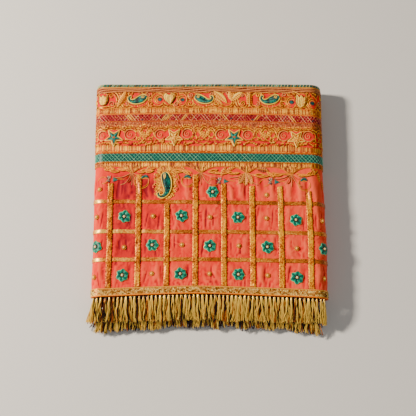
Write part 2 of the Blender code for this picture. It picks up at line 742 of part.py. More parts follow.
def fringe(name, front, height, first, last, count, reach, drop, seed, flare_left, flare_right):
    """A backing strip with locks drawn out of its front face."""
    body = Body()
    rng = np.random.default_rng(seed)
    pitch = (last - first) / count
    centres = first + pitch * (np.arange(count) + 0.5)
    stations = np.sort(np.concatenate((centres - LOCK_ROOT[0] / 2, centres + LOCK_ROOT[0] / 2)))
    stations = np.concatenate(([first - 1.0], stations, [last + 1.0]))
    root, ahead, over = strip_frame(stations, front, height)
    back = root + (0.0, STRIP_DEPTH, 0.0)
    half = over * LOCK_ROOT[1] / 2
    upper = body.add(settle(root + half))
    lower = body.add(settle(root - half))
    keep = list(range(0, len(stations), 8))
    if keep[-1] != len(stations) - 1:
        keep.append(len(stations) - 1)
    back_low = body.add(settle((back - half)[keep]))
    back_high = body.add(settle((back + half)[keep]))
    for i in range(0, len(stations) - 1, 2):
        body.quad(lower[i], lower[i + 1], upper[i + 1], upper[i])
    body.stitch(upper, back_high, stations, stations[keep])
    body.stitch(back_low, lower, stations[keep], stations)
    for i in range(len(keep) - 1):
        body.quad(back_high[i], back_high[i + 1], back_low[i + 1], back_low[i])
    body.quad(back_low[0], lower[0], upper[0], back_high[0])
    body.quad(lower[-1], back_low[-1], back_high[-1], upper[-1])
    sway = np.convolve(rng.uniform(-1, 1, count + 4), np.ones(5) / 5, mode="valid")
    uneven = rng.uniform(-1, 1, count)
    for k in range(count):
        i = 1 + 2 * k
        spread = 3.0 * ((k + 0.5) / count - 0.5)
        spread += flare_right * math.exp((k + 1 - count) / FLARE_LOCKS) - flare_left * math.exp(-k / FLARE_LOCKS)
        centre = (root[i] + root[i + 1]) / 2
        side = (ahead[i] + ahead[i + 1]) / 2
        rise = (over[i] + over[i + 1]) / 2
        far = reach + 1.6 * uneven[k]
        rings = [(lower[i], lower[i + 1], upper[i + 1], upper[i])]
        for along, fall, aside, (wide, high) in (
            (0.42, 0.24, 0.35, LOCK_MIDDLE),
            (1.0, 1.0, 1.0, LOCK_TIP),
        ):
            shift = np.array((spread * aside + 2.0 * sway[k] * aside, -far * along, -drop * fall))
            corners = [
                centre + shift + side * a * wide / 2 + rise * b * high / 2
                for a, b in ((-1, -1), (1, -1), (1, 1), (-1, 1))
            ]
            rings.append(body.add(settle(corners)))
        for low, high in zip(rings, rings[1:]):
            for a in range(4):
                b = (a + 1) % 4
                body.quad(low[a], low[b], high[b], high[a])
        body.quad(*rings[-1])
    body.make(name, "gold fringe")


for old in list(bpy.data.objects):
    bpy.data.objects.remove(old, do_unlink=True)

veil_face().make("veil_face", "coral cloth")
inner_layers().make("inner_layers", "folded layers")
bands()
edging()
ribbons()
cross_ribbons()
for number, (at_u, at_v) in enumerate(FLOWERS):
    flower(number, at_u, at_v)
motifs()
for row in ROWS:
    fringe(*row)
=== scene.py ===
"""The folded embroidered veil, dressed: creased cloth, bands, ribbons, stitches, beads and fringe threads.

Sizes are millimetres until a mesh is made. u runs across the cloth, v along it, and lift is height over it.
"""

import math

import bpy
import numpy as np
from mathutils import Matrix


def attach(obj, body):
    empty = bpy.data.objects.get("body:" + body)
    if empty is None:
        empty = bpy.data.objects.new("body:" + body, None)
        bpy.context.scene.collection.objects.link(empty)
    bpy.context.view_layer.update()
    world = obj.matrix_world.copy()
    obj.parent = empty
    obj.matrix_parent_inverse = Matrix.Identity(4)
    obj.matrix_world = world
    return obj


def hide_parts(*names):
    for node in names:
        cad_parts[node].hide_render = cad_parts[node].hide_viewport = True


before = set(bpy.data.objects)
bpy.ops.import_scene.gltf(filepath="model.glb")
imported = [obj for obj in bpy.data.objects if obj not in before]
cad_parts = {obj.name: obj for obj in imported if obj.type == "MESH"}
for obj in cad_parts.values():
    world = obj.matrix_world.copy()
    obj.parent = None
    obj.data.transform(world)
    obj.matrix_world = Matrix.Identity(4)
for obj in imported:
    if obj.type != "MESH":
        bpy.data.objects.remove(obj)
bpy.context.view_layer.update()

MM = 0.001

# Packet, as in the solids
WIDTH = 325
THICK = 40
R_LEFT = 13.25
R_RIGHT = 20
R_BACK = 6.5
CORNER_CUT = 0.3
BACK_FLAT = 171.5
HEM = -128.6
WALL = 1.6
SEAM = 0.3
X_LEFT = R_LEFT - WIDTH / 2
X_RIGHT = WIDTH / 2 - R_RIGHT
U_FIRST = X_LEFT - R_LEFT * math.radians(160)
U_LAST = X_RIGHT + R_RIGHT * math.radians(150)
V_LAST = BACK_FLAT + R_BACK * math.radians(150)
BRAID_LOW = -128.3
BRAID_TOP = -117.6

# Ribbons
RIBBON_PITCH = 39.6
RIBBON_WIDTH = 7.4
RIBBON_FOOT = -117
RIBBON_TOPS = (28.6, 41.2, -0.7, 41.2, 28.6, 25.7, 25.7, 19.9)
RIBBON_U = tuple((k - 3.5) * RIBBON_PITCH for k in range(8))
CROSS_ROWS = (-79.9, -40.5, 1.9)
CROSS_WIDTH = 4.8
CROSS_RAISE = 0.7
CROSS_HALF = 2.6
CROSS_RAMP = 6

FLOWERS = (
    (4.6, 16.5), (-118.4, -19.6), (-39, -18), (39.6, -19.6), (119.6, -21.8), (-157.6, -61.6), (-79, -59.8),
    (0.6, -60.6), (79.6, -61.2), (157.8, -61.2), (-119.4, -101), (-40, -100.6), (39.6, -100.6),
    (119.4, -102.4),
)
BEADS = (
    (-154, 19.6), (79.7, 13.2), (-157, -20), (-78.4, -18.8), (0.4, -19.6), (78.9, -20.2), (157.5, -21.4),
    (-118, -62.9), (-38.2, -59.4), (40.3, -60.4), (119.6, -62.4), (-158.8, -102.4), (-79.2, -99.8),
    (0, -100.4), (79.5, -100.8), (158.5, -101.6),
)
# Centre u, v, length, breadth, turn, way the tail curls
PAISLEYS = (
    (-103, 153.6, 27, 1, 186, -1),
    (-8, 153.6, 27, 1, -6, 1),
    (87.2, 153.6, 28, 1, 184, -1),
    (-61.5, 25.5, 38, 0.85, -101, -1),
)
# Middle line of a comma and its half width, for a length of one
PAISLEY_SPINE = np.array((
    (-0.47, 0.13, 0.03), (-0.43, 0.11, 0.12), (-0.33, 0.07, 0.175), (-0.19, 0, 0.2), (-0.03, -0.06, 0.18),
    (0.13, -0.1, 0.135), (0.28, -0.09, 0.09), (0.4, -0.02, 0.06), (0.45, 0.09, 0.045), (0.41, 0.18, 0.035),
    (0.33, 0.2, 0.02),
))
STARS = ((-135.7, 96, 11.8), (-50.2, 96, 11.4), (35.2, 96, 11.8), (124, 95.6, 11.4))
STAR_WAIST = 0.42

# Bow of the lines across the packet and how far the fold edges stand out, as in the solids
BOW = np.array((
    (-178, 2.4, -1.2, 5.2), (-123, 2.4, -1.2, 5.2), (-79.9, 1.4, -1.5, 2.1), (-40.5, 0.6, -1.4, 0.9),
    (1.9, 0.2, -2, 0.5), (66, 1, -0.9, 1.5), (125, 1.6, -1.2, 3.2), (155, 0.5, -0.4, 1), (178, 0, 0, 0),
))
EDGE_LINES = np.array((
    (-178, -0.4, 0.4), (-116, 0.3, 0.9), (-58, -0.3, 2), (0, 0.4, 0.8), (66, -0.2, -1.2), (120, 0.3, -1),
    (178, 0.1, -1.2),
))

# Main creases: first u, v, last u, v, half width, height
CREASES = (
    (-126, -60, -126, -28, 4, 0.9), (-110.5, -12, -110.5, 36, 4, 0.99), (-127, -2, -127, 34, 3.2, -0.54),
    (-87.5, -52, -87.5, -6, 4, 0.81), (-70.8, -113, -72.8, -82, 4, 1.26), (-79.2, 2, -79.2, 40, 3.2, -0.63),
    (-48, -60, -48, -28, 4, 0.81), (-31.2, -113, -31.2, -84, 3.2, -0.54), (-31.2, -8, -31.2, 38, 4, 0.99),
    (-8.4, -42, -8.4, -4, 4, 0.9), (8.4, -113, 8.4, -82, 4, 1.17), (0, -38, 0, -4, 4, 0.63),
    (31.2, -8, 31.2, 36, 4, 0.9), (48, -74, 48, -42, 4, 0.9), (47.5, 2, 47.5, 38, 4, 0.9),
    (70.8, -113, 70.8, -84, 4, 1.26), (79.2, -38, 79.2, -2, 4, 0.72), (87.6, -2, 87.6, 38, 4, 0.99),
    (110.4, -78, 110.4, -42, 4, 0.9), (127.2, -8, 127.2, 38, 4, 1.26), (110.4, 0, 110.4, 38, 4, 0.81),
    (-150, -113, -150, -78, 4, 0.81), (-150.5, -52, -150.5, 12, 4, 0.63), (149, -46, 149, 36, 4, 1.08),
    (149, -113, 149, -76, 4, 0.9), (-90.5, 24, -86, 4, 2.88, -1.08), (-107, 20, -115, 4, 3.2, -0.9),
    (-128, -70, -124, -46, 3.6, -0.9), (-112, -36, -108, -10, 3.6, -0.81),
    (-28.5, -82, -30, -112, 3.2, -1.08), (12, 20, 16, -4, 3.2, -0.81), (28, -114, 30, -92, 2.88, -1.08),
    (66, 26, 62, 4, 3.6, -0.81), (94, -58, 92, -80, 3.2, -0.9), (132, -84, 128, -108, 3.2, -0.9),
    (49, 2, 51, 46, 1.92, -1.44), (137.5, -4, 136, 44, 2.08, -1.8), (11, 10, 10, 46, 1.92, -1.08),
    (66, -38, 64, -8, 1.76, -0.9), (-6, -40, -4, -2, 1.6, -1.08), (-64, -112, -62, -84, 1.6, -1.26),
    (98, -4, 96, 30, 1.92, -0.9), (-130, 2, -126, 40, 2.08, -1.26), (-100, 4, -102, 36, 1.92, -1.26),
)
# Small folds at random places in the grid and in the bands
LOOSE_FOLDS = 110
BAND_FOLDS = 260
# Painted shade on the coral cloth: centre u, v, radius, strength
PAINTED_SHADE_SPOTS = (
    (-119, 22, 24, 0.24), (-118, -20, 24, 0.21), (-120, -62, 24, 0.2), (-82, 24, 17, 0.2),
    (-78, -22, 16, 0.17), (-80, -64, 16, 0.13), (-20, 30, 14, 0.06), (20, -62, 15, 0.05),
    (118, -20, 15, 0.06), (104, -100, 14, 0.06),
)

# Fringe rows: piece, node, strip front y, strip height z, first x or u, last x or u, locks, reach, drop,
# seed, flare of the left and the right end, tufts in a lock, threads in a tuft, and the middle's painted
# light, which is painted shade where it is below zero
ROWS = (
    ("fringe_threads_top", "fringe_top", -131.3, None, -162.2, 160.2, 56, 30, 15.5, 5, (5, 0.8), 15, 4, 0.06),
    ("fringe_threads_second", "fringe_second", -144, 24, -154, 147, 52, 31, 14.5, 8, (5.5, 4), 9, 3, -0.08),
    ("fringe_threads_floor", "fringe_floor", -138.4, 4.6, -155, 147, 40, 27, 2.4, 11, (3, 3), 4, 4, -0.12),
)
FLARE_LOCKS = 3.5
# How far the second row reaches along its locks
FRINGE_CLUMPS = (
    (0, 3, 7, 12, 16, 21, 25, 28, 31, 34, 37, 41, 44, 47, 51),
    (1, 1, 0.93, 0.95, 0.84, 0.9, 0.82, 0.92, 0.78, 0.94, 0.8, 0.9, 0.8, 1, 1),
)
# Painted light along the fringe row: how much lighter its tone is at each share of the row
FRINGE_LIGHT = ((0, 0.05, 0.13, 0.2, 0.6, 0.8, 0.92, 1), (0.06, 0, -0.08, -0.02, 0, 0.12, 0.02, 0))


def smooth(x):
    x = np.clip(x, 0, 1)
    return x * x * (3 - 2 * x)


def gain(x, reach):
    """Grows as a square from 0 to 1 over a reach."""
    return np.clip(x / reach, 0, 1) ** 2


def place(u, v, lift=0.0):
    """The point of the packet at u, v and lift, before it settles."""
    u, v, lift = np.broadcast_arrays(np.asarray(u, float), v, lift)
    turn = np.clip((v - BACK_FLAT) / R_BACK, 0, None)
    sunk = R_BACK * (1 - np.cos(turn))
    out = lift * np.cos(turn)
    depth = sunk - out
    y = np.minimum(v, BACK_FLAT) + (R_BACK + lift) * np.sin(turn)
    left = np.clip((X_LEFT - u) / R_LEFT, 0, None)
    right = np.clip((u - X_RIGHT) / R_RIGHT, 0, None)
    spare = out - CORNER_CUT * sunk
    x = np.clip(u, X_LEFT, X_RIGHT) - (R_LEFT + spare) * np.sin(left) + (R_RIGHT + spare) * np.sin(right)
    z = THICK - depth + (R_LEFT - depth) * (np.cos(left) - 1) + (R_RIGHT - depth) * (np.cos(right) - 1)
    return np.stack((x, y, z), axis=-1)


def settle(points):
    """Gives the straight packet its bowed lines, uneven fold edges and slight sag."""
    x, y, z = np.moveaxis(points, -1, 0)
    side = x / (WIDTH / 2)
    middle, tilt, lost = (np.interp(y, BOW[:, 0], BOW[:, k]) for k in (1, 2, 3))
    left, right = (np.interp(y, EDGE_LINES[:, 0], EDGE_LINES[:, k]) for k in (1, 2))
    wave = 0.5 * np.sin(x / 45 + 0.8) * gain(y - 60, 110) + 0.5 * np.sin(x / 33 + 2.2) * gain(-60 - y, 60)
    rise = 0.45 * np.sin(x / 48 + 0.7) * np.cos(y / 55 + 0.3) - 1.5 * gain(-75 - y, 55) - 0.5 * side**2
    x_out = x + right * gain(x - 50, 110) - left * gain(-x - 50, 110)
    y_out = y + middle + tilt * side - lost * side**2 + wave
    return np.stack((x_out, y_out, z + np.clip(z / THICK, 0, 1.1) * rise), axis=-1)


# Height of the cloth's creases, kept on a fine grid
GRID = 0.75
GRID_U = np.arange(-192, 200, GRID)
GRID_V = np.arange(-132, 194, GRID)
heights = np.zeros((len(GRID_U), len(GRID_V)))


def fold(first_u, first_v, last_u, last_v, half, height):
    """Adds one soft ridge, or a trough where height is below zero, that fades at both ends."""
    room = 2.6 * half
    fade = 0.35
    i = slice(*np.searchsorted(GRID_U, (min(first_u, last_u) - room, max(first_u, last_u) + room)))
    j = slice(*np.searchsorted(GRID_V, (min(first_v, last_v) - room, max(first_v, last_v) + room)))
    du, dv = GRID_U[i][:, None] - first_u, GRID_V[j] - first_v
    run_u, run_v = last_u - first_u, last_v - first_v
    length = math.hypot(run_u, run_v)
    along = (du * run_u + dv * run_v) / length**2
    away = (dv * run_u - du * run_v) / length / half
    heights[i, j] += height * smooth(along / fade) * smooth((1 - along) / fade) * np.exp(-(away**2))


def relief(u, v, table=heights):
    """Height of the creases at any u and v, or another table's value there."""
    a = np.clip((u - GRID_U[0]) / GRID, 0, len(GRID_U) - 1.001)
    b = np.clip((v - GRID_V[0]) / GRID, 0, len(GRID_V) - 1.001)
    i, j = np.asarray(a).astype(int), np.asarray(b).astype(int)
    a, b = a - i, b - j
    low = table[i, j] * (1 - a) + table[i + 1, j] * a
    return low * (1 - b) + (table[i, j + 1] * (1 - a) + table[i + 1, j + 1] * a) * b


def hollows():
    """Where the cloth dips, from 0 on a ridge or plain to about 1 in a sharp crease."""
    step = 2
    sharp = 0.5
    around = sum(np.roll(heights, shift, axis) for axis in (0, 1) for shift in (-step, step))
    return np.clip((around - 4 * heights) / (step * GRID) ** 2 / sharp, -0.15, 1)


def skin(u, v, lift=0.0):
    """A point over the creased cloth, settled."""
    return settle(place(u, v, relief(u, v) + lift))


def wrinkle():
    """Listed creases, then soft folds down each cell and puckers beside the ribbons and along the hem."""
    rng = np.random.default_rng(3)
    draw = rng.uniform
    for row in CREASES:
        fold(*row)
    sides = (-178, *RIBBON_U, 178)
    rows = (RIBBON_FOOT - 2, *CROSS_ROWS, 48)
    for left, right in zip(sides, sides[1:]):
        for low, high in zip(rows, rows[1:]):
            for k in range(3):
                u = left + (right - left) * (k + draw(0.6, 1.4)) / 4
                first, last = low + draw(-2, 12), high - draw(-2, 14)
                rise = draw(0.4, 1) * (1 if rng.random() < 0.55 else -0.8)
                fold(u, first, u + rng.normal(0, 6), last, draw(2.8, 5), rise)
            for k in range(2):
                u = left + (right - left) * draw(0.15, 0.85)
                first, last = low + draw(0, 16), high - draw(0, 16)
                fold(u, first, u + rng.normal(0, 4), last, draw(0.9, 1.4), -draw(0.35, 0.8))
    for centre, top in zip(RIBBON_U, RIBBON_TOPS):
        for side in (-1, 1):
            edge = centre + side * RIBBON_WIDTH / 2
            fold(edge + side * 1.3, RIBBON_FOOT - 16, edge + side * 1.3, top + 10, 1.3, -0.45)
            v = RIBBON_FOOT + 1
            while v < top - 2:
                reach = draw(2.5, 6.5)
                fold(edge - side * 1.5, v, edge + side * reach, v + draw(-4, 4), 1.5, draw(0.1, 0.6))
                v += draw(3, 9.5)
    for at in np.arange(-160, 162, 4.2):
        u, top = at + draw(-1.2, 1.2), BRAID_TOP + draw(4, 15)
        fold(u, BRAID_TOP - 3, u + draw(-3, 3), top, draw(1.3, 2.4), draw(0.3, 0.9))
    for row in CROSS_ROWS:
        for at in np.arange(-158, 160, 5.5):
            u = at + draw(-2, 2)
            side = 1 if rng.random() < 0.5 else -1
            far = row + side * draw(5, 11)
            fold(u, row + side, u + draw(-4, 4), far, draw(1.1, 2), draw(0.2, 0.55))
    for u, v in FLOWERS + BEADS:
        for k in range(4):
            angle = draw(0, 2 * math.pi)
            du, dv = math.cos(angle), math.sin(angle)
            far = draw(9, 15)
            fold(u + du, v + dv, u + far * du, v + far * dv, draw(1.2, 2.2), draw(0.1, 0.45))
    for k in range(LOOSE_FOLDS):
        u, v = draw(-170, 175), draw(-116, 52)
        angle = math.pi / 2 + rng.normal(0, 0.8)
        reach = draw(9, 24) / 2
        du, dv = reach * math.cos(angle), reach * math.sin(angle)
        fold(u - du, v - dv, u + du, v + dv, draw(1.6, 4), draw(-0.7, 0.6))
    heights[:] *= smooth((50 - GRID_V) / 12) * smooth((GRID_V - HEM - 9) / 4)
    for k in range(BAND_FOLDS):
        u, v = draw(-180, 190), draw(48, 178)
        last_v = v + draw(5, 16)
        fold(u, v, u + rng.normal(0, 2), last_v, draw(1.4, 3), draw(-0.12, 0.2))
    u, v = np.meshgrid(GRID_U, GRID_V, indexing="ij")
    flat, rim = 5, 6
    for at_u, at_v in FLOWERS:
        heights[:] *= smooth((np.hypot(u - at_u, v - at_v) - flat) / rim)
    depth, radius = 0.7, 3.4
    for at_u, at_v in BEADS:
        heights[:] -= depth * np.exp(-((np.hypot(u - at_u, v - at_v) / radius) ** 2))


wrinkle()
# Crease curvature, used as painted shade: the coral is darker where the cloth dips
CREASE_SHADE = hollows()


def put(name, data):
    """A new object in the scene."""
    thing = bpy.data.objects.new(name, data)
    bpy.context.scene.collection.objects.link(thing)
    return thing


class Piece:
    """Points, four-sided faces, shades and cloth places of one piece."""

    def __init__(self):
        self.points, self.faces, self.tones, self.places = [], [], [], []
        self.size = 0

    def grid(self, points, tone=0.5, where=None, closed=False):
        """Adds grids of points, shaped (grids, rows, columns, 3)."""
        shape = points.shape[:3]
        index = self.size + np.arange(math.prod(shape)).reshape(shape)
        ring = np.concatenate((index, index[:, :, :1]), axis=2) if closed else index
        corners = (ring[:, :-1, :-1], ring[:, 1:, :-1], ring[:, 1:, 1:], ring[:, :-1, 1:])
        self.faces.append(np.stack(corners, axis=-1).reshape(-1, 4))
        self.points.append(points.reshape(-1, 3))
        tone = np.asarray(tone, float)
        tone = tone.reshape(tone.shape + (1,) * (3 - tone.ndim))
        self.tones.append(np.broadcast_to(tone, shape).reshape(-1))
        self.places.append((points if where is None else where).reshape(-1, 3))
        self.size += index.size
        return index

    def shell(self, u, v, top, bottom, tone=0.5):
        """A thin closed strip over grids of u and v, between two lifts."""
        flat = np.stack((u, v, np.zeros(u.shape)), axis=-1)
        tone = np.broadcast_to(tone, u.shape)
        ring, where, tone = (
            np.concatenate((upper, lower[:, ::-1]), axis=1)
            for upper, lower in ((skin(u, v, top), skin(u, v, bottom)), (flat, flat), (tone, tone))
        )
        index = self.grid(ring[None], tone[None], where[None], closed=True)[0]
        rows = v.shape[1]
        for end, way in ((0, 1), (-1, -1)):
            line = index[end]
            back = line[::-1]
            quads = np.stack((line[: rows - 1], line[1:rows], back[1:rows], back[: rows - 1]), axis=-1)
            self.faces.append(quads[:, ::way])

    def make(self, name, look, slot, replaces=()):
        points, faces = np.concatenate(self.points) * MM, np.concatenate(self.faces)
        mesh = bpy.data.meshes.new(name)
        mesh.vertices.add(len(points))
        mesh.vertices.foreach_set("co", points.astype(np.float32).ravel())
        mesh.loops.add(faces.size)
        mesh.loops.foreach_set("vertex_index", faces.astype(np.int32).ravel())
        mesh.polygons.add(len(faces))
        mesh.polygons.foreach_set("loop_start", np.arange(0, faces.size, 4, dtype=np.int32))
        mesh.update(calc_edges=True)
        mesh.polygons.foreach_set("use_smooth", np.ones(len(faces), bool))
        tone = mesh.attributes.new("tone", "FLOAT", "POINT")
        tone.data.foreach_set("value", np.concatenate(self.tones).astype(np.float32))
        spot = mesh.attributes.new("spot", "FLOAT_VECTOR", "POINT")
        spot.data.foreach_set("vector", np.concatenate(self.places).astype(np.float32).ravel())
        mesh.materials.append(look)
        thing = put(name, mesh)
        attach(thing, "root")
        if replaces:
            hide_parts(*replaces)
        return thing


def unit(vectors):
    return vectors / np.maximum(np.linalg.norm(vectors, axis=-1, keepdims=True), 1e-9)


# Share of the full width at each point of a short thread
ENDS = {2: (0.7, 0.7), 3: (0.45, 1, 0.45), 4: (0.4, 1, 1, 0.4)}


def strand(piece, u, v, lift, wide, high, tone=0.5, taper=True):
    """Threads that lie on the cloth along rows of u and v; wide and high are half width and height."""
    u, v = np.atleast_2d(u), np.atleast_2d(v)
    count = u.shape[1]
    long_ends = (0.4, 0.85) + (1,) * (count - 4) + (0.85, 0.4)
    ends = np.array(ENDS.get(count, long_ends) if taper else (1,) * count)[:, None]
    centre = skin(u, v, lift)
    over = unit(skin(u, v, np.asarray(lift) + 0.5) - centre)
    side = unit(np.cross(over, np.gradient(centre, axis=1)))
    side, over = side * wide * ends, over * high * ends
    tone = np.asarray(tone, float)
    tone = tone.reshape(-1, 1, 1) if tone.ndim == 1 else tone
    piece.grid(np.stack((centre - side, centre + over, centre + side), axis=2), tone)


def cord(piece, v, lift, half, rise, tone, line=None):
    """An even cord along a whole band."""
    line = LINE if line is None else line
    strand(piece, line, np.broadcast_to(v, line.shape), lift, half, rise, tone, taper=False)


def satin(piece, low, high, lift, wide, rise, tone, crown=0.0, points=4):
    """Stitches side by side, each from one line's point to the other line's matching point."""
    t = np.linspace(0, 1, points)
    u, v = (low[:, None, k] * (1 - t) + high[:, None, k] * t for k in (0, 1))
    strand(piece, u, v, np.asarray(lift) + crown * 4 * t * (1 - t), wide, rise, tone)


def curve(points, count):
    """A smooth line of count points through the given ones."""
    p = np.asarray(points, float)
    p = np.vstack((2 * p[0] - p[1], p, 2 * p[-1] - p[-2]))
    spans = len(p) - 3
    t = np.linspace(0, spans, count)
    k = np.minimum(t.astype(int), spans - 1)
    f = (t - k)[:, None]
    a, b, c, d = p[k], p[k + 1], p[k + 2], p[k + 3]
    return 0.5 * (2 * b + (c - a) * f + (2 * a - 5 * b + 4 * c - d) * f**2 + (3 * b - 3 * c + d - a) * f**3)


def turned(points, at, turn=0):
    """Points moved from a motif's own frame to the cloth."""
    c, s = math.cos(math.radians(turn)), math.sin(math.radians(turn))
    return np.asarray(points, float) @ ((c, s), (-s, c)) + at


def tint(red, green, blue):
    """A linear colour from the 0 to 255 values that a picture of it shows."""
    share = np.array((red, green, blue)) / 255
    linear = np.where(share <= 0.04045, share / 12.92, ((share + 0.055) / 1.055) ** 2.4)
    return (*linear.tolist(), 1)


def node(tree, kind, *inputs, **values):
    """A new node with its settings and inputs; an output given for an input is linked to it."""
    made = tree.nodes.new("ShaderNode" + kind)
    for key, value in (*values.items(), *enumerate(inputs)):
        if isinstance(key, str) and hasattr(made, key):
            setattr(made, key, value)
        elif isinstance(value, bpy.types.NodeSocket):
            tree.links.new(value, made.inputs[key])
        else:
            made.inputs[key].default_value = value
    return made


def look(
    name, shades, rough, metal=0, gloss=0.3, grain=(0.9, 0.3), bump=0.15, deep=0.3,
    sheen=0, weave=0, stretch=1,
):
    """A thread or cloth material: shades from dark to light by tone and grain, with a fine surface."""
    made = bpy.data.materials.new(name)
    made.use_nodes = True
    tree = made.node_tree
    spot, tone = (node(tree, "Attribute", attribute_name=key) for key in ("spot", "tone"))
    along = node(tree, "Mapping", spot.outputs["Vector"], Scale=(1, stretch, 1))
    noise = node(tree, "TexNoise", along.outputs[0], Scale=1 / grain[0], Detail=3)
    shift = node(tree, "Math", noise.outputs[0], grain[1], -grain[1] / 2, operation="MULTIPLY_ADD")
    total = node(tree, "Math", tone.outputs["Fac"], shift.outputs[0], operation="ADD", use_clamp=True)
    ramp = node(tree, "ValToRGB", total.outputs[0])
    stops = ramp.color_ramp.elements
    stops.new(0.5)
    for stop, at, shade in zip(stops, (0.25, 0.5, 0.75), shades):
        stop.position, stop.color = at, tint(*shade)
    height = noise.outputs[0]
    if weave:
        split = node(tree, "SeparateXYZ", spot.outputs["Vector"])
        waves = []
        for k in (0, 1):
            scale = node(tree, "Math", split.outputs[k], 2 * math.pi / weave, operation="MULTIPLY")
            waves.append(node(tree, "Math", scale.outputs[0], operation="SINE").outputs[0])
        both = node(tree, "Math", *waves, operation="MULTIPLY")
        height = node(tree, "Math", both.outputs[0], 0.04, height, operation="MULTIPLY_ADD").outputs[0]
    bumps = node(tree, "Bump", Height=height, Strength=bump, Distance=deep * MM)
    inputs = tree.nodes["Principled BSDF"].inputs
    tree.links.new(ramp.outputs[0], inputs["Base Color"])
    tree.links.new(bumps.outputs[0], inputs["Normal"])
    settings = {"Roughness": rough, "Metallic": metal, "Specular IOR Level": gloss}
    for key, value in (settings | {"Sheen Weight": sheen, "Sheen Roughness": 0.4}).items():
        inputs[key].default_value = value
    return made


CORAL = look(
    "coral cloth", ((136, 15, 31), (228, 34, 22), (255, 96, 58)), 0.8,
    gloss=0.12, sheen=0.05, grain=(6, 0.22), bump=0.5, weave=0.8, deep=1.6, stretch=0.45,
)
LAYER = look("folded layers", ((96, 14, 8), (196, 44, 26), (216, 120, 44)), 0.8, grain=(3, 0.3), bump=0.3)
GOLD = look("gold thread", ((108, 36, 2), (208, 98, 4), (255, 184, 34)), 0.42, 0.25, 0.2)
BROWN = look("brown gold thread", ((92, 26, 8), (184, 84, 38), (230, 146, 80)), 0.55, gloss=0.15)
CREAM = look("cream thread", ((180, 80, 8), (246, 156, 26), (255, 212, 84)), 0.45, 0.1, 0.2)
GREEN = look("green thread", ((0, 38, 40), (0, 98, 90), (24, 172, 142)), 0.42)
RED = look("red thread", ((72, 0, 12), (144, 4, 26), (196, 24, 36)), 0.6, gloss=0.1)
PINK = look("pale pink thread", ((150, 40, 30), (222, 100, 74), (250, 190, 140)), 0.5)
ORANGE = look("orange thread", ((140, 44, 0), (240, 118, 0), (255, 180, 20)), 0.45, 0.1, 0.2)
RIBBON = look(
    "gold ribbon", ((120, 46, 0), (230, 118, 0), (255, 190, 16)), 0.4, 0.3, 0.25, grain=(1.15, 1.1), bump=0.4
)
COPPER = look(
    "copper ribbon", ((120, 48, 6), (212, 112, 20), (255, 200, 80)), 0.38, 0.4, grain=(1.5, 0.75), bump=0.4
)
FLOWER = look("green ribbon", ((0, 22, 26), (0, 114, 92), (16, 204, 154)), 0.4, grain=(1.6, 0.3), bump=0.2)
FRINGE = look("gold fringe", ((34, 10, 4), (212, 106, 16), (255, 208, 80)), 0.3, 0.36, 0.4, (2, 0.2), bump=0)
SILVERED = look("silvered gold thread", ((90, 60, 18), (218, 164, 64), (255, 230, 130)), 0.34, 0.45)
MINT = look("mint thread", ((8, 100, 84), (80, 186, 150), (196, 240, 186)), 0.5, gloss=0.15)
GREY = look("grey purple thread", ((56, 48, 56), (126, 112, 104), (214, 186, 140)), 0.5)
PEARL = look("pale knot", ((160, 108, 54), (236, 196, 132), (255, 244, 196)), 0.4, bump=0.05)
BEAD = look("bead", ((150, 74, 8), (218, 132, 30), (255, 200, 86)), 0.35, 0.1, bump=0.05)


def stations(first, last, step):
    return np.linspace(first, last, max(2, int(round((last - first) / step)) + 1))


def columns(pitch):
    return np.arange(U_FIRST + 2.5, U_LAST - 2.5, pitch)


LINE = columns(1.2)


def veil_cloth():
    """The outer face, creased, as a thin shell."""
    rows = (stations(HEM, 60, 1.65)[:-1], stations(60, BACK_FLAT, 6)[:-1], stations(BACK_FLAT, V_LAST, 1.6))
    u, v = np.meshgrid(stations(U_FIRST, U_LAST, 1.45), np.concatenate(rows), indexing="ij")
    aside = np.min([np.abs(u - centre) for centre in RIBBON_U], axis=0)
    # Painted shade in the creases, weaker beside the ribbons and on the left cells
    shade_in_creases = np.minimum(relief(u, v, CREASE_SHADE), 0.7) * (0.4 + 0.6 * smooth((aside - 5) / 5))
    shade_in_creases *= 0.38 + 0.16 * smooth((u + 95) / 45)
    # The tone also gets a painted highlight on fold ridges and painted light towards the right
    tone = 0.56 + 0.05 * relief(u, v) - shade_in_creases + 0.09 * smooth((u - 10) / 130)
    # Painted shade in soft spots over the cells
    for at_u, at_v, radius, depth in PAINTED_SHADE_SPOTS:
        tone -= depth * np.exp(-(((u - at_u) / radius) ** 2) - ((v - at_v) / radius) ** 2)
    piece = Piece()
    piece.shell(u, v, 0, -0.9, tone)
    return piece.make("veil_cloth", CORAL, "coral_cloth", ("veil_face",))


def ground(name, low, high, step, look_of, slot, replaces, thick=0.45, tone=0.5):
    """The ground cloth of one band."""
    u, v = np.meshgrid(stations(U_FIRST + 2, U_LAST - 2, 1.5), stations(low, high, step), indexing="ij")
    piece = Piece()
    # Tone lighter on fold ridges and darker in the troughs: painted light and shade
    piece.shell(u, v, SEAM + thick, SEAM, tone + 0.25 * relief(u, v))
    piece.make(name, look_of, slot, replaces)


def over_cross(v):
    """How far a long ribbon is lifted by the cross ribbons."""
    away = np.min([np.abs(v - row) for row in CROSS_ROWS], axis=0)
    return (CROSS_RAISE + SEAM) * smooth((CROSS_RAMP - away) / (CROSS_RAMP - CROSS_HALF))


def uneven(line, every, rng, low, high):
    """Slow random changes along a line."""
    return np.interp(line, line[::every], rng.uniform(low, high, len(line[::every])))


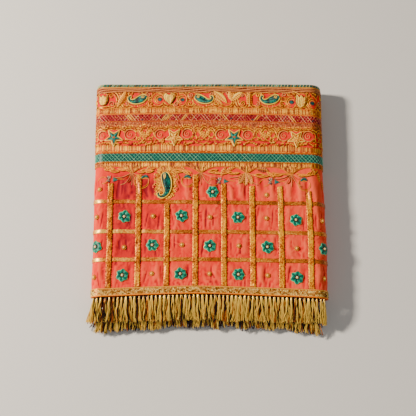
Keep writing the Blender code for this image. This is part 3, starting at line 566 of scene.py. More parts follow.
def long_ribbons(rng):
    across = np.linspace(-1, 1, 9)[:, None]
    for k, (centre, top) in enumerate(zip(RIBBON_U, RIBBON_TOPS)):
        v = stations(RIBBON_FOOT, top, 1.1)
        wobble = uneven(v, 6, rng, -0.25, 0.25)
        half = RIBBON_WIDTH / 2 + 0.28 * rng.uniform(-1, 1, len(v))
        patches = uneven(v, 7, rng, -0.2, 0.12)
        u = centre + wobble + across * half
        v = np.broadcast_to(v, u.shape)
        lift = over_cross(v) + SEAM
        crown = 0.35 + 0.3 * (1 - across**4) + 0.12 * rng.uniform(-1, 1, u.shape)
        # Ribbons further right are lighter: painted light; the patches and speckle are the ribbon's own
        # mottle
        shade = 0.53 + centre * 0.0004 + 0.8 * patches + 0.28 * rng.uniform(-1, 1, u.shape)
        piece = Piece()
        piece.shell(u, v, lift + crown, lift, shade)
        piece.make(f"long_ribbon_{k + 1}", RIBBON, "gold_ribbon", (f"ribbon_v_{k + 1}",))


def ribbon_seams():
    """Short dark stitches along both edges of the long ribbons; their dark tone paints the shade of the
    puckers there.
    """
    rng = np.random.default_rng(31)
    piece = Piece()
    for centre, top in zip(RIBBON_U, RIBBON_TOPS):
        for side in (-1, 1):
            v = np.arange(RIBBON_FOOT + 1, top - 0.5, 2.3)
            v = v + rng.uniform(-0.6, 0.6, len(v))
            edge = centre + side * (RIBBON_WIDTH / 2 + rng.uniform(-0.2, 0.3, len(v)))
            u = edge[:, None] + side * np.array((-0.5, 0.3, 1.1))
            v = v[:, None] + rng.uniform(-0.5, 0.5, (len(v), 1)) * (-1, 0, 1)
            # Darker on the right edge: painted shade on the side away from the light
            tone = (0.1 if side > 0 else 0.3) + 0.15 * rng.uniform(-1, 1, len(v))
            strand(piece, u, v, over_cross(v) * (1, 0.8, 0.2) + (0.75, 0.6, 0.15), 0.5, 0.4, tone)
    piece.make("ribbon_seam_shade_stitches", BROWN, "brown_gold_embroidery")


def cross_ribbons(rng):
    line = stations(U_FIRST + 3, U_LAST - 3, 1.2)
    across = np.linspace(-1, 1, 7)
    for k, row in enumerate(CROSS_ROWS):
        v = row + uneven(line, 8, rng, -0.3, 0.3)[:, None] + across * (CROSS_WIDTH / 2 + 0.4)
        u = np.broadcast_to(line[:, None], v.shape)
        top = SEAM + 0.3 + 0.3 * (1 - across**4) + 0.05 * rng.uniform(-1, 1, v.shape)
        # Painted highlight: a glint on the lit left fold and slight lightening towards the left, plus uneven
        # patches of the ribbon's own mottle
        painted_glint_and_mottle = 0.32 * np.exp(-(((u - X_LEFT + 5) / 6) ** 2)) + 0.07 * smooth(-u / 120)
        painted_glint_and_mottle = painted_glint_and_mottle + uneven(line, 14, rng, -0.12, 0.12)[:, None]
        piece = Piece()
        piece.shell(u, v, top, SEAM, 0.47 - 0.09 * (row > 0) + painted_glint_and_mottle + 0.16 * rng.uniform(-1, 1, v.shape))
        piece.make(f"cross_ribbon_{k + 1}", COPPER, "copper_ribbon", (f"ribbon_h_{k + 1}",))


PETAL_HALF = 4.3
PETAL_REACH = 9.3


def flowers(rng):
    """Six looped ribbon petals each, with a fine rim."""
    a, t = np.meshgrid(np.linspace(-1, 1, 9), np.linspace(0, 1, 10), indexing="ij")
    half = PETAL_HALF * np.sin(math.pi * (0.12 + 0.76 * t)) ** 0.7
    arch = 0.4 + 2.1 * np.sin(math.pi * np.clip(t * 0.94 + 0.03, 0, 1)) ** 0.6
    arch = arch * (0.62 + 0.38 * np.abs(a) ** 1.5) * (1 - 0.35 * np.abs(a) ** 6)
    # Petals darker down their middles and towards the flower's centre, lighter at rims and tips: painted
    # shade and highlight
    shade = 0.15 + 0.44 * np.abs(a) ** 1.6 + 0.34 * t
    rim = ((0, 0, 0, 2, 4, 6, 8, 8, 8), (5, 7, 9, 9, 9, 9, 9, 7, 5))
    rims = Piece()
    for k, at in enumerate(FLOWERS):
        piece = Piece()
        for petal in range(6):
            angle = math.degrees(0.35 * k + rng.uniform(-0.08, 0.08)) + 60 * petal
            reach = PETAL_REACH + rng.uniform(-0.7, 0.5)
            r = 1 + (reach - 1) * t - 1.3 * a**2 * t
            s = a * half * (0.95 + 0.1 * rng.random())
            u, v = np.moveaxis(turned(np.stack((r, s), axis=-1), at, angle), -1, 0)
            rise = arch + 0.12 * np.sin(a * 9 + petal)
            under = np.maximum(rise - 0.45, 0.2)
            piece.shell(*(values[::-1] for values in (u, v, rise, under, shade)))
            strand(rims, u[rim], v[rim], rise[rim], 0.2, 0.25, 0.3 + 0.3 * rng.random())
        piece.make(f"ribbon_flower_{k + 1}", FLOWER, "green_ribbon", (f"flower_{k + 1}",))
    rims.make("flower_rims", SILVERED, "gold_embroidery")


def ball(piece, at, lift, radius, tone, rings=5, steps=6):
    """A small round bead that sits on the cloth."""
    turn = np.linspace(0, 2 * math.pi, steps, endpoint=False)
    p, a = np.meshgrid(np.linspace(0.05, math.pi - 0.05, rings), turn, indexing="ij")
    u, v = at[0] + radius * np.sin(p) * np.cos(a), at[1] + radius * np.sin(p) * np.sin(a)
    points = settle(place(u, v, relief(*at) + lift + 0.75 * radius * (1 + np.cos(p))))
    piece.grid(points[None], tone, closed=True)


def ball_ring(piece, at, count, ring, lift, radius, tone):
    for step in range(count):
        ball(piece, turned((ring, 0), at, 360 * step / count), lift, radius, tone)


def beads():
    for k, at in enumerate(BEADS):
        piece = Piece()
        ball(piece, at, 0.5, 2, 0.66, rings=7, steps=10)
        ball_ring(piece, at, 9, 2.8, 0.2, 1.05, 0.46)
        piece.make(f"bead_{k + 1}", BEAD, "gold_embroidery")


def knots():
    """A pale knot in the middle of each flower."""
    piece = Piece()
    for at in FLOWERS:
        ball_ring(piece, at, 6, 1.2, 1.6, 0.85, 0.45)
        ball(piece, at, 2, 1, 0.75, steps=8)
    piece.make("flower_knots", PEARL, "gold_embroidery")


def tube(piece, paths, radius, tone):
    """Free threads along paths of points, shaped (threads, points, 3)."""
    ahead = unit(np.gradient(paths, axis=1))
    side = unit(np.cross(ahead, (0, 0, 1)))
    over = np.cross(side, ahead)
    radius = np.broadcast_to(radius, paths.shape[:2])[..., None]
    piece.grid(np.stack((paths - radius * side, paths + radius * over, paths + radius * side), axis=2), tone)


# Darker threads behind each lock, as painted shade between the locks, and how near the floor a thread's
# middle may come
UNDER_THREADS = 9
THREAD_RADIUS = 0.35


def fringe(name, replaced, front, height, first, last, count, reach, drop, seed, flares, tufts, hairs, shade):
    """Locks that part into wavy tufts of loose threads, over darker threads between the locks that paint the
    shade there.
    """
    rng = np.random.default_rng(seed)
    sway = np.convolve(rng.uniform(-1, 1, count + 4), np.ones(5) / 5, mode="valid")
    longer = rng.uniform(-1, 1, count)
    clump = np.interp(np.arange(count), *FRINGE_CLUMPS) if name == "fringe_threads_second" else np.ones(count)
    steps = np.array((-0.05, 0.04, 0.1, 0.2, 0.34, 0.5, 0.67, 0.84, 1))
    s = np.clip(steps, 0, None)
    swell, thick = (
        np.interp(steps, (0, 0.05, 0.12, 0.22, 0.45, 1), values)
        for values in ((0.9, 1.4, 1.6, 1.9, 2.7, 3.3), (0.8, 1.25, 1.3, 1.05, 1.2, 1.1))
    )
    piece = Piece()
    for under in (True, False):
        lock = np.repeat(np.arange(count), UNDER_THREADS if under else tufts * hairs)
        threads = len(lock)
        hairs_each = 1 if under else hairs
        bunches = threads // hairs_each

        def tuft_wise(values):
            return np.repeat(values, hairs_each, axis=0).reshape(threads, -1)

        def draw(low, high):
            return tuft_wise(rng.uniform(low, high, bunches))

        def noise(spread, each=1):
            return spread * rng.uniform(-1, 1, (threads, each))

        spot = lock + 0.5 + (rng.uniform(-0.6, 0.6, threads) if under else 0)
        centre = first + (last - first) / count * spot
        if height is None:
            root = place(centre, front, -0.7)
            ahead = place(centre + 0.5, front, -0.7) - place(centre - 0.5, front, -0.7)
            over = place(centre, front, 0.3) - root
        else:
            root = np.column_stack((centre, np.full(threads, front), np.full(threads, height)))
            ahead, over = np.array(((1, 0, 0),)), np.array(((0, 0, 1),))
        length = (reach + 1.4 * longer[lock]) * clump[lock] * (1 + 0.03 * rng.uniform(-1, 1, threads))
        length = length[:, None] * (1 + draw(-0.13, 0.05))
        spread = 3 * (spot / count - 0.5) + flares[1] * np.exp((spot + 0.5 - count) / FLARE_LOCKS)
        spread = spread - flares[0] * np.exp((0.5 - spot) / FLARE_LOCKS)
        bend = (spread + 1.6 * sway[lock])[:, None] * s**1.2
        angle = draw(0, 2 * math.pi)
        size = np.sqrt(draw(0.1, 0.85))
        a = size * np.cos(angle) * swell + tuft_wise(rng.normal(0, 2, bunches)) * s**1.6
        b = size * np.sin(angle) * thick
        wave = draw(0, 2 * math.pi)
        a = a + 0.7 * s**0.7 * np.sin(draw(6, 13) * s + wave)
        a = a + 0.5 * tuft_wise(np.cumsum(rng.normal(0, 1, (bunches, len(steps))), axis=1)) * s**0.5
        b = b + 0.9 * s**0.6 * np.sin(7 * s + wave)
        a = a + (0.22 + 0.36 * s) * noise(1) + 0.5 * s**2 * rng.normal(0, 1, (threads, 1))
        a = a + 0.34 * s * np.cumsum(rng.normal(0, 1, (threads, len(steps))), axis=1)
        b = b + noise(0.35)
        at = (centre + bend[:, 5] + a[:, 5])[:, None]
        # Streaks of lighter and darker tufts across the row: the lightest tufts paint glints, the darkest
        # paint shade between tufts, mixed with random tone
        streak = 0.42 * np.sin(1.35 * at + 2.2 * np.sin(0.41 * at))
        kind = np.clip(0.5 + streak + 0.55 * (tuft_wise(rng.random(bunches)) - 0.5), 0, 1)
        glint_threads = (kind > 0.7) & (not under)
        b = b + 0.4 * glint_threads - 1.9 * under
        points = root[:, None] + a[..., None] * ahead[:, None] + b[..., None] * over[:, None]
        points += np.stack((bend, -length * steps, np.broadcast_to(-drop * s**1.65, bend.shape)), axis=-1)
        points = settle(points)
        points[..., 2] = np.maximum(points[..., 2], THREAD_RADIUS)
        tone = np.interp(kind, (0, 0.3, 0.45, 0.62, 0.74, 1), (-0.06, 0.1, 0.4, 0.6, 0.94, 1.24))
        # Under threads get painted shade; the noise along each thread paints glints where it twists
        tone = (-0.1 if under else tone) + noise(0.16) + noise(0.12, len(steps))
        along = (spot / count)[:, None]
        # Painted light and shade along the row, from each row's middle value and FRINGE_LIGHT
        tone = tone + shade * np.cos(math.pi * (along - 0.5)) + np.interp(along, *FRINGE_LIGHT)
        # Painted light and shade on each lock: lighter on its left, darker on its right
        tone = tone - 0.07 * np.clip(a, -2.4, 2.4)
        # Painted highlight on the lock heads, painted shade on lower threads and painted shadow under the
        # braid
        tone = tone + 0.36 * np.exp(-(((steps - 0.09) / 0.09) ** 2)) + 0.16 * b - 0.2 * (steps < 0)
        tube(piece, points, (0.36 if under else 0.28) + 0.06 * glint_threads, tone[..., None])
    piece.make(name, FRINGE, "gold_fringe", (replaced,))


def hem_braid(rng):
    """Gold braid: a ribbed ground, edge cords and curled threads between."""
    ground("braid_ground", BRAID_LOW, BRAID_TOP, 1.3, FRINGE, "gold_embroidery", ("hem_braid",), 0.6)
    line = stations(U_FIRST + 2.5, U_LAST - 2.5, 1)
    for name, thread, rows in (
        ("braid_edges", FRINGE, ((BRAID_TOP - 1.2, 0.4, 0.5), (BRAID_TOP - 0.4, 0.45, 0.72))),
        ("braid_low_edges", ORANGE, ((BRAID_LOW + 0.5, 0.42, 0.52), (BRAID_LOW + 1.5, 0.42, 0.62))),
    ):
        edges = Piece()
        for v, wide, tone in rows:
            tone = tone + 0.2 * np.sin(line * 3)[None, :, None]
            cord(edges, v + 0.12 * np.sin(line * 2.2), 0.85, wide, 0.5, tone, line)
        edges.make(name, thread, "gold_embroidery")
    curls = Piece()
    middle = (BRAID_LOW + BRAID_TOP) / 2
    steps = np.linspace(0, 2 * math.pi, 10)
    for row, centre in enumerate(np.linspace(middle - 2.7, middle + 2.7, 4)):
        starts = (np.arange(U_FIRST + 4, U_LAST - 4, 2) + row % 2)[:, None]
        turn = rng.uniform(0, 6.28, starts.shape)
        radius = rng.uniform(0.5, 0.9, starts.shape)
        u = starts + radius * np.cos(steps + turn) + 0.25 * (steps - math.pi)
        v = centre + rng.uniform(-0.3, 0.3, starts.shape) + radius * np.sin(steps + turn)
        strand(curls, u, v, 0.95, 0.3, 0.55, rng.uniform(0.05, 1.05, len(starts)), taper=False)
    curls.make("braid_curls", SILVERED, "gold_embroidery")


# Room between the face and the layers under it, and where their back edge starts
FACE_GAP = 0.4
BACK_EDGE = 171


def bulge(radius, height):
    """How far a round edge stands out at a height from its middle."""
    return math.sqrt(max(radius**2 - height**2, 0))


def layer_line(z, step, free_step, kind, wobble):
    """Outline of the folded layers at one height, anticlockwise from the front left corner."""
    core = WALL + SEAM + FACE_GAP
    left = X_LEFT - bulge(R_LEFT - core, z - THICK + R_LEFT)
    right = X_RIGHT + bulge(R_RIGHT - core, z - THICK + R_RIGHT)
    back, back_right = BACK_EDGE, 133
    if kind == "bottom":
        left = free_step - 161
        right = max(right, 138) if z > 2.5 else X_RIGHT + bulge(R_RIGHT, z - 20)
        front, front_right = step - 135.6, min(149, right - 0.5)
        back, back_right = 170 + bulge(R_BACK, z - R_BACK), min(right - 1.5, 152 - 0.62 * max(z - 2.7, 0))
    elif kind == "middle":
        front, front_right = step - 141.2, 148
        back = 170.6 + bulge(R_BACK, z - 20)
    else:
        front, front_right = step - 126, right - 4
    top = kind == "top"
    back = max(back, BACK_EDGE)
    bend = front + 0.3 if top else max(front + 4, -127.3)
    points = [(left + du, front + dv) for du, dv in ((0, 4), (0.4, 2.4), (1.2, 1.2), (2.4, 0.4))]
    points += [(x, front) for x in np.linspace(left + 4, front_right - 4, 60)]
    points += [(front_right - 2.4, front + 0.3), (front_right - 1.2, front + (0.3 if top else 1.2))]
    points += [(front_right, front + (0.1 if top else 4)), (front_right + 0.05, bend + 0.2)]
    points.append((max(right - 2, front_right + 0.2), bend + 0.4))
    points += [(right, y) for y in np.linspace(bend + 3, 169, 56)]
    points += [(right - 0.7, 170.6), (back_right + 0.8, 170.9), (back_right + 0.3, back - 0.6)]
    points += [(x, back) for x in np.linspace(back_right - 0.6, left + 2.4, 56)]
    points += [(left + 1.4, 170.9), (left + 0.7, 170.6)]
    points += [(left, y) for y in np.linspace(169, front + 6, 56)]
    x, y = np.array(points).T
    y = y + wobble[0] * np.sin(x * 0.061 + wobble[1]) * (np.abs(x) < 140)
    inward = np.sign(-x) * (np.abs(x) > 134) * (np.abs(y) < 168)
    x = x + inward * wobble[0] * (1 + np.sin(y * 0.055 + wobble[2]))
    return np.column_stack((x, y, np.full(len(x), z)))


def folded_edges():
    """The packet under the face: many thin folded layers with rounded, slightly uneven edges."""
    rng = np.random.default_rng(21)
    rings, tones = [], []
    for kind, low, high, count in (("bottom", 0, 13, 8), ("middle", 14.4, 26.6, 8), ("top", 27, 38.1, 7)):
        for layer in range(count):
            wobble = (rng.uniform(0.1, 0.45), rng.uniform(0, 6), rng.uniform(0, 6))
            inset = rng.uniform(0, 0.5)
            shade = rng.uniform(0.35, 0.6)
            for share in (0.03, 0.18, 0.5, 0.82, 0.97):
                groove = abs(2 * share - 1) ** 3
                z = low + (high - low) / count * (layer + share)
                rings.append(layer_line(z, inset + 1.5 * groove, inset + 1.6 * groove, kind, wobble))
                # Darker near each layer's top and bottom: painted shade in the grooves between the layers
                tones.append(np.full(len(rings[-1]), shade - 0.25 * groove))
    points = settle(np.array(rings))
    piece = Piece()
    index = piece.grid(points.transpose(1, 0, 2)[None, ::-1], np.array(tones).T[None, ::-1])[0]
    last, first = index[-1], index[0]
    piece.faces.append(np.stack((last[:-1], first[:-1], first[1:], last[1:]), axis=-1))
    for end, way in ((0, -1), (-1, 1)):
        ring = points[end]
        cap = np.stack((ring, np.broadcast_to(ring.mean(axis=0), ring.shape)))[:, ::way]
        piece.grid(np.concatenate((cap, cap[:, :1]), axis=1).transpose(1, 0, 2)[None])
    return piece.make("folded_edges", LAYER, "folded_layers", ("inner_layers",))


THREADS = {
    "gold": (GOLD, "gold_embroidery"),
    "brown": (BROWN, "brown_gold_embroidery"),
    "cream": (CREAM, "gold_embroidery"),
    "green": (GREEN, "green_ribbon"),
    "mint": (MINT, "green_lattice"),
    "red": (RED, "red_lattice"),
    "orange": (ORANGE, "gold_embroidery"),
    "coral": (CORAL, "coral_cloth"),
    "pink": (PINK, "red_lattice"),
    "grey": (GREY, "gold_embroidery"),
}


class Stitches:
    """One band's needlework: a piece for each thread colour."""

    def __init__(self, band):
        self.band = band
        self.pieces = {}

    def __getitem__(self, colour):
        return self.pieces.setdefault(colour, Piece())

    def make(self):
        for colour, piece in self.pieces.items():
            piece.make(f"{self.band}_{colour}_stitches", *THREADS[colour])


def lay(piece, line, half, rise, tone, lift, under):
    """One thread, with a darker one half under its lower right side as a painted shadow, where a piece for it
    is given.
    """
    u, v = line[None, :, 0], line[None, :, 1]
    strand(piece, u, v, lift, half, rise, tone)
    if under is not None:
        strand(under, u + 0.4 + 0.6 * half, v - 0.5 - 0.6 * half, lift - 0.2, 0.25 + 0.7 * half, 0.4, 0.05)


def couch(piece, points, half=0.5, rise=0.55, tone=0.6, lift=1, under=None):
    """One thread laid along given points."""
    points = np.asarray(points, float)
    length = np.linalg.norm(np.diff(points, axis=0), axis=1).sum()
    lay(piece, curve(points, max(5, int(length / 1.1))), half, rise, tone, lift, under)


def spiral(piece, at, radius, turns, start, way, half, tone, lift=1, rise=0.55, under=None):
    """A couched thread that winds in to a centre."""
    t = np.linspace(0, 1, int(11 * turns) + 4)
    angle = math.radians(start) + way * 2 * math.pi * turns * t
    r = radius * (1 - 0.88 * t)
    lay(piece, np.column_stack((r * np.cos(angle), r * np.sin(angle))) + at, half, rise, tone, lift, under)


def arc(piece, at, radius, first, last, half=0.45, tone=0.6, lift=1, rise=0.5, under=None):
    """Part of a ring."""
    angle = np.radians(np.linspace(first, last, max(5, int(abs(last - first) / 18))))
    lay(piece, radius * np.column_stack((np.cos(angle), np.sin(angle))) + at, half, rise, tone, lift, under)


def patch(piece, one, other, top, bottom, tone):
    """A thin closed pad between two matching lines."""
    share = np.linspace(0, 1, 7)[:, None, None]
    lines = one * (1 - share) + other * share
    across, along = lines[-1, 0] - lines[0, 0], lines[0, -1] - lines[0, 0]
    if across[0] * along[1] < across[1] * along[0]:
        lines = lines[::-1]
    piece.shell(lines[..., 0], lines[..., 1], top, bottom, tone)


def dot(piece, at, radius, tone=0.5, lift=0.9):
    """A round spot of satin stitches."""
    step = np.arange(-radius + 0.3, radius, 0.75)
    half = np.sqrt(np.maximum(radius**2 - step**2, 0.04))
    low, high = (np.column_stack((step, way * half)) + at for way in (-1, 1))
    satin(piece, low, high, lift, 0.46, 0.45, tone + 0.1 * np.sin(step * 7), crown=0.5)


def leaf(piece, at, turn, length, half, tone=0.5, lift=0.95, bend=0.0, swing=0.35, rib=None):
    """A leaf of slanted stitches from its middle line to both edges; bend curves the middle line."""
    pitch = 0.95
    t = np.linspace(0.02, 0.98, max(4, int(length / pitch)))
    along = (t - 0.5) * length
    middle = bend * length * (1 - (2 * t - 1) ** 2)
    width = half * np.sin(math.pi * t**0.8) ** 0.8
    low = turned(np.column_stack((along, middle)), at, turn)
    for side in (-1, 1):
        high = turned(np.column_stack((along + swing * width, middle + side * width)), at, turn)
        shade = tone + 0.12 * side + 0.2 * np.sin(np.arange(len(t)) * 2.1)
        satin(piece, low, high, lift, pitch * 0.6, 0.42, shade, crown=0.3)
    if rib is not None:
        couch(rib, low[:: max(1, len(t) // 8)], 0.4, 0.5, 0.6, lift + 0.35)


def fill(piece, us, low, high, rng, tone, spread, reach, half, lift, lean=0):
    """Columns of short stitches between two edges, with staggered joins."""
    low, height = np.broadcast_to(low, us.shape), high - low + 0 * us
    rows = np.maximum(1, np.round(height / reach)).astype(int)
    shift = rng.uniform(-0.35, 0.35, len(us))
    for row in range(rows.max()):
        use = rows > row
        first = np.clip((row + shift[use] * (row > 0)) / rows[use], 0, 1)
        last = np.where(row + 1 == rows[use], 1, (row + 1 + shift[use]) / rows[use])
        lines = [
            np.column_stack((us[use] + lean * height[use] * share, low[use] + height[use] * share))
            for share in (first, last)
        ]
        satin(piece, *lines, lift, half, 0.38, tone + spread * rng.uniform(-1, 1, use.sum()), crown=0.08)


def swirl(work, low, high, gaps, rng, far=40, pitch=1.15, band=3.3, reach=1.6):
    """Short stitches in rings round each gap, in turn dark and light as far as far; the gaps stay open."""
    u, v = np.meshgrid(columns(pitch), np.arange(low + 0.6, high, pitch), indexing="ij")
    u = (u + rng.uniform(-0.5, 0.5, u.shape) * pitch).ravel()
    v = (v + rng.uniform(-0.5, 0.5, v.shape) * pitch).ravel()
    gaps = np.array(gaps)
    du, dv = u[:, None] - gaps[:, 0], (v[:, None] - gaps[:, 1]) / gaps[:, 3]
    away = np.hypot(du, dv) - gaps[:, 2]
    nearest = np.argmin(away, axis=1)
    pick = (np.arange(len(u)), nearest)
    keep = away[pick] > 0.3
    ring = away[pick][keep]
    ahead = unit(np.column_stack((-dv[pick], du[pick] * gaps[nearest, 3])))[keep]
    near = smooth((far - ring) / band)
    ahead = reach * unit(ahead + (1 - near)[:, None] * (0.9, 2.2))
    crest = 0.42 + (0.08 + 0.5 * np.cos(2 * math.pi * (ring - 0.7) / band)) * near
    at = np.column_stack((u[keep], v[keep]))
    start, end = (np.clip(at + way * ahead, (-np.inf, low), (np.inf, high)) for way in (-1, 1))
    shade = 0.12 + 0.55 * crest + 0.12 * (1 - near) + 0.24 * rng.uniform(-1, 1, len(ring))
    lift = 0.6 + 0.75 * crest[:, None]
    dark = crest < 0.43
    for colour, use in (("brown", dark), ("gold", ~dark)):
        satin(work[colour], start[use], end[use], lift[use], 0.5, 0.4, shade[use], points=3)


def lattice(piece, low, high, pitch, rng, half, tone, slope=0.93, vary=0.12):
    """Crossed slanting threads from edge to edge."""
    first, last = U_FIRST + 3, U_LAST - 3
    reach = (high - low) * slope
    starts = np.arange(first - reach, last, pitch)
    t = np.linspace(0, 1, 8)
    for way in (1, -1):
        u = starts[:, None] + reach * t[::way] + rng.uniform(-0.2, 0.2, (len(starts), 1))
        v = np.broadcast_to(low + (high - low) * t, u.shape)
        shade = tone + vary * rng.uniform(-1, 1, len(starts))
        whole = (u.min(axis=1) > first) & (u.max(axis=1) < last)
        strand(piece, u[whole], v[whole], 0.95 + 0.06 * way, half, 0.4, shade[whole], taper=False)


def top_edge(rng):
    """Slanted stitches on the back fold: a green strip and the brown-gold line in front of it."""
    work = Stitches("top_edge")
    us = columns(0.95)
    low = 163.9 + np.sin(us * 0.21) + 0.6 * np.sin(us * 0.53 + 1)
    fill(work["brown"], us, low, 172.2, rng, 0.42, 0.3, 5, 0.55, 0.95, 0.25)
    line = columns(2.4)
    for k in range(8):
        rows = 164.6 + k + 0.9 * np.sin(line * 0.05 + 0.55 * k) + 0.6 * np.sin(line * 0.14 + 0.9 * k)
        tone = (0.78 if k % 2 else 0.1) + 0.12 * np.sin(line * 0.31 + 2 * k)[None, :, None]
        cord(work["brown"], np.minimum(rows, 172), 1.25, 0.5, 0.45, tone, line)
    starts = np.arange(U_FIRST + 4, U_LAST - 8, 2.3)
    low = np.column_stack((starts, np.full(len(starts), 172.9)))
    for colour, aside, every, lift, half, rise, tone, spread in (
        ("mint", 0, 1, 1, 0.45, 0.5, 0.5, 0.4),
        ("cream", 0.7, 2, 1.05, 0.32, 0.5, 0.5, 0),
        ("green", 1.3, 1, 0.95, 0.7, 0.4, 0.3, 0.2),
    ):
        near = low[::every] + (aside, 0)
        shade = tone + (spread * rng.uniform(-1, 1, len(near)) if spread else np.zeros(len(near)))
        satin(work[colour], near, near + (3.4, 9.6), lift, half, rise, shade, points=6)
    cord(work["gold"], 172.4, 1, 0.5, 0.5, 0.65)
    cord(work["gold"], 183, 1, 0.5, 0.5, 0.6)
    work.make()


def paisley_line(length, breadth, curl, out=0.0):
    """Middle line and both sides of a comma with a curled tail, head towards minus x."""
    ahead = unit(np.gradient(PAISLEY_SPINE[:, :2], axis=0))
    half = PAISLEY_SPINE[:, 2:] * length * breadth + out
    away = np.column_stack((ahead[:, 1], -ahead[:, 0])) * half
    spine = PAISLEY_SPINE[:, :2] * length
    return [line * (1, curl) for line in (spine, spine + away, spine - away)]


def paisleys(rng):
    """Padded green commas of satin stitches inside a cream cord."""
    steps = 44
    flecks = 46
    for k, (*at, length, breadth, turn, curl) in enumerate(PAISLEYS):
        green, cream = Piece(), Piece()
        lines = (turned(line, at, turn) for line in paisley_line(length, breadth * 0.9, curl))
        middle, one, other = (curve(line, steps) for line in lines)
        patch(green, one, other, 1.6, 0.6, 0.3)
        for edge, shade in ((one, 0.42), (other, 0.22)):
            tone = shade + 0.14 * np.sin(np.arange(steps) * 0.55) + 0.06 * rng.uniform(-1, 1, steps)
            satin(green, middle, edge, np.array((2.7, 2.5, 2.05, 1.55)), 0.62, 0.5, tone)
        share, step = rng.uniform(-0.75, 0.75, (flecks, 1)), rng.integers(4, 32, flecks)
        facet = middle[step] + (np.where(share > 0, one[step], other[step]) - middle[step]) * np.abs(share)
        tilt = rng.uniform(0, math.pi, flecks)
        reach = 0.7 * np.column_stack((np.cos(tilt), np.sin(tilt)))
        satin(green, facet - reach, facet + reach, 2.45, 0.5, 0.5, rng.uniform(0.6, 1, flecks), points=3)
        green.make(f"paisley_{k + 1}_satin", GREEN, "green_ribbon", (f"paisley_{k + 1}",))
        for out, last, *cord_shape in ((0.9, 11, 0.7, 1.2, 0.82, 1.5), (2.3, 9, 0.5, 0.6, 0.22, 1)):
            _, right, left = paisley_line(length, breadth * 0.9, curl, out)
            ring = np.vstack((right[:last], left[:last][::-1], right[:1]))
            couch(cream, turned(ring, at, turn), *cord_shape)
        eye = turned((-0.3 * length, 0.09 * length * curl), at, turn)
        if k < 3:
            spiral(cream, eye, 0.09 * length, 1.4, 30 + turn, curl, 0.42, 0.7, 2.9)
        else:
            leaf(cream, eye + (-0.3, 1.4), -94, 9, 1.9, 0.72, 2.5)
        cream.make(f"paisley_{k + 1}_cord", CREAM, "gold_embroidery")


def stars(rng):
    """Five satin arms, each of two halves, inside a cord."""
    for k, (*at, radius) in enumerate(STARS):
        green = k % 2 == 0
        body, edge = Piece(), Piece()
        inner = radius - 0.5
        t = np.linspace(0.04, 0.96, 11)[:, None]
        for angle in range(-90, 270, 72):
            tip = turned((inner, 0), at, angle)
            for side in (-1, 1):
                waist = turned((inner * STAR_WAIST, 0), at, angle + 36 * side)
                tone = (0.62 if side > 0 else 0.36) + (0.1 if green else 0.24) * rng.uniform(-1, 1, 11)
                low, high = waist * (1 - t) + tip * t, np.array(at) * (1 - t) + tip * t
                satin(body, low, high, np.array((1.5, 1.9, 2.2, 2.4)), 0.5, 0.42, tone)
        look_of, slot = (GREEN, "green_ribbon") if green else (CREAM, "gold_embroidery")
        body.make(f"star_{k + 1}_satin", look_of, slot, (f"star_{k + 1}",))
        corners = np.arange(11)
        for out, half, tone in ((radius + 1.7, 0.8, 0.7), (radius - 0.6, 0.45, 0.3)):
            size = np.where(corners % 2, out * (STAR_WAIST + 0.02), out)
            angle = np.radians(36 * corners - 90)
            u, v = (
                np.interp(np.linspace(0, 10, 61), corners, middle + size * turn)
                for middle, turn in zip(at, (np.cos(angle), np.sin(angle)))
            )
            cord(edge, v, 1.6, half, 1.2, tone, u)
        dot(edge, at, 2, 0.25 if green else 0.6, 2.2)
        for step in range(0 if green else 12):
            out = 0.62 * radius * math.sqrt((step + 0.5) / 12)
            ball(edge, turned((out, 0), at, step * 137.5), 2.3, 0.75, 0.75)
        edge.make(f"star_{k + 1}_cord", CREAM, "gold_embroidery")


# Scroll band, from the left: rings of curls as centre u, v, radius, turns, start angle, way
SCROLL_CURLS = (
    (-165, 151, 5, 1.3, 60, 1), (-139.5, 147, 4.6, 1.3, 200, -1), (-140.5, 159, 3.6, 1.2, 20, 1),
    (-118, 148, 3.4, 1.2, 250, 1), (-112, 163, 3.4, 1.2, 200, -1), (-87.5, 161, 4, 1.3, 100, 1),
    (-84, 147.5, 4.2, 1.4, 300, -1), (-47, 146, 3.8, 1.3, 30, 1), (-46.5, 160.5, 3.6, 1.2, 330, -1),
    (-26.5, 160, 4, 1.4, 150, 1), (-28, 146.5, 3.6, 1.2, 10, -1), (3, 162, 3.6, 1.2, 190, 1),
    (8.5, 147, 3.8, 1.3, 120, -1), (26.5, 162.5, 3.4, 1.2, 10, 1), (48.5, 146.8, 4.4, 1.5, 40, 1),
    (47, 159.5, 3.2, 1.2, 220, -1), (70, 160, 4.2, 1.4, 320, 1), (69.5, 146.5, 3.6, 1.2, 120, -1),
    (104.5, 146.8, 3.8, 1.3, 60, 1), (108, 161, 3.6, 1.2, 240, -1), (143, 160.5, 3.4, 1.2, 90, 1),
    (161, 151.5, 4.6, 1.3, 10, -1), (166, 160, 3.6, 1.2, 90, 1),
)
# Coral left open in the scroll band: centre u, v, radius, height over width
SCROLL_GAPS = (
    (-167, 153, 4.5, 1.5), (-154, 153, 9, 1), (-141.5, 152.5, 6.5, 1.2), (-103.5, 153, 14, 0.72),
    (-104, 162, 6.5, 0.6), (-74, 153.4, 6.6, 1.2), (-57.5, 155.5, 8, 1.1), (-41, 153, 6.4, 1.2),
    (-8.5, 153, 14, 0.72), (-24, 158.5, 5, 0.8), (23.5, 150, 7, 0.8), (25, 160.5, 4.5, 0.8),
    (47.5, 153, 4.6, 1.5), (66.5, 153, 4.8, 1.4), (87, 153, 14, 0.72), (101, 161, 5, 0.6),
    (116.5, 150.5, 6.4, 1.2), (132.4, 153, 8, 1.1), (148, 150.5, 6.4, 1.2), (162, 155, 4.6, 1.5),
    (176.5, 153, 3.2, 1.2),
)
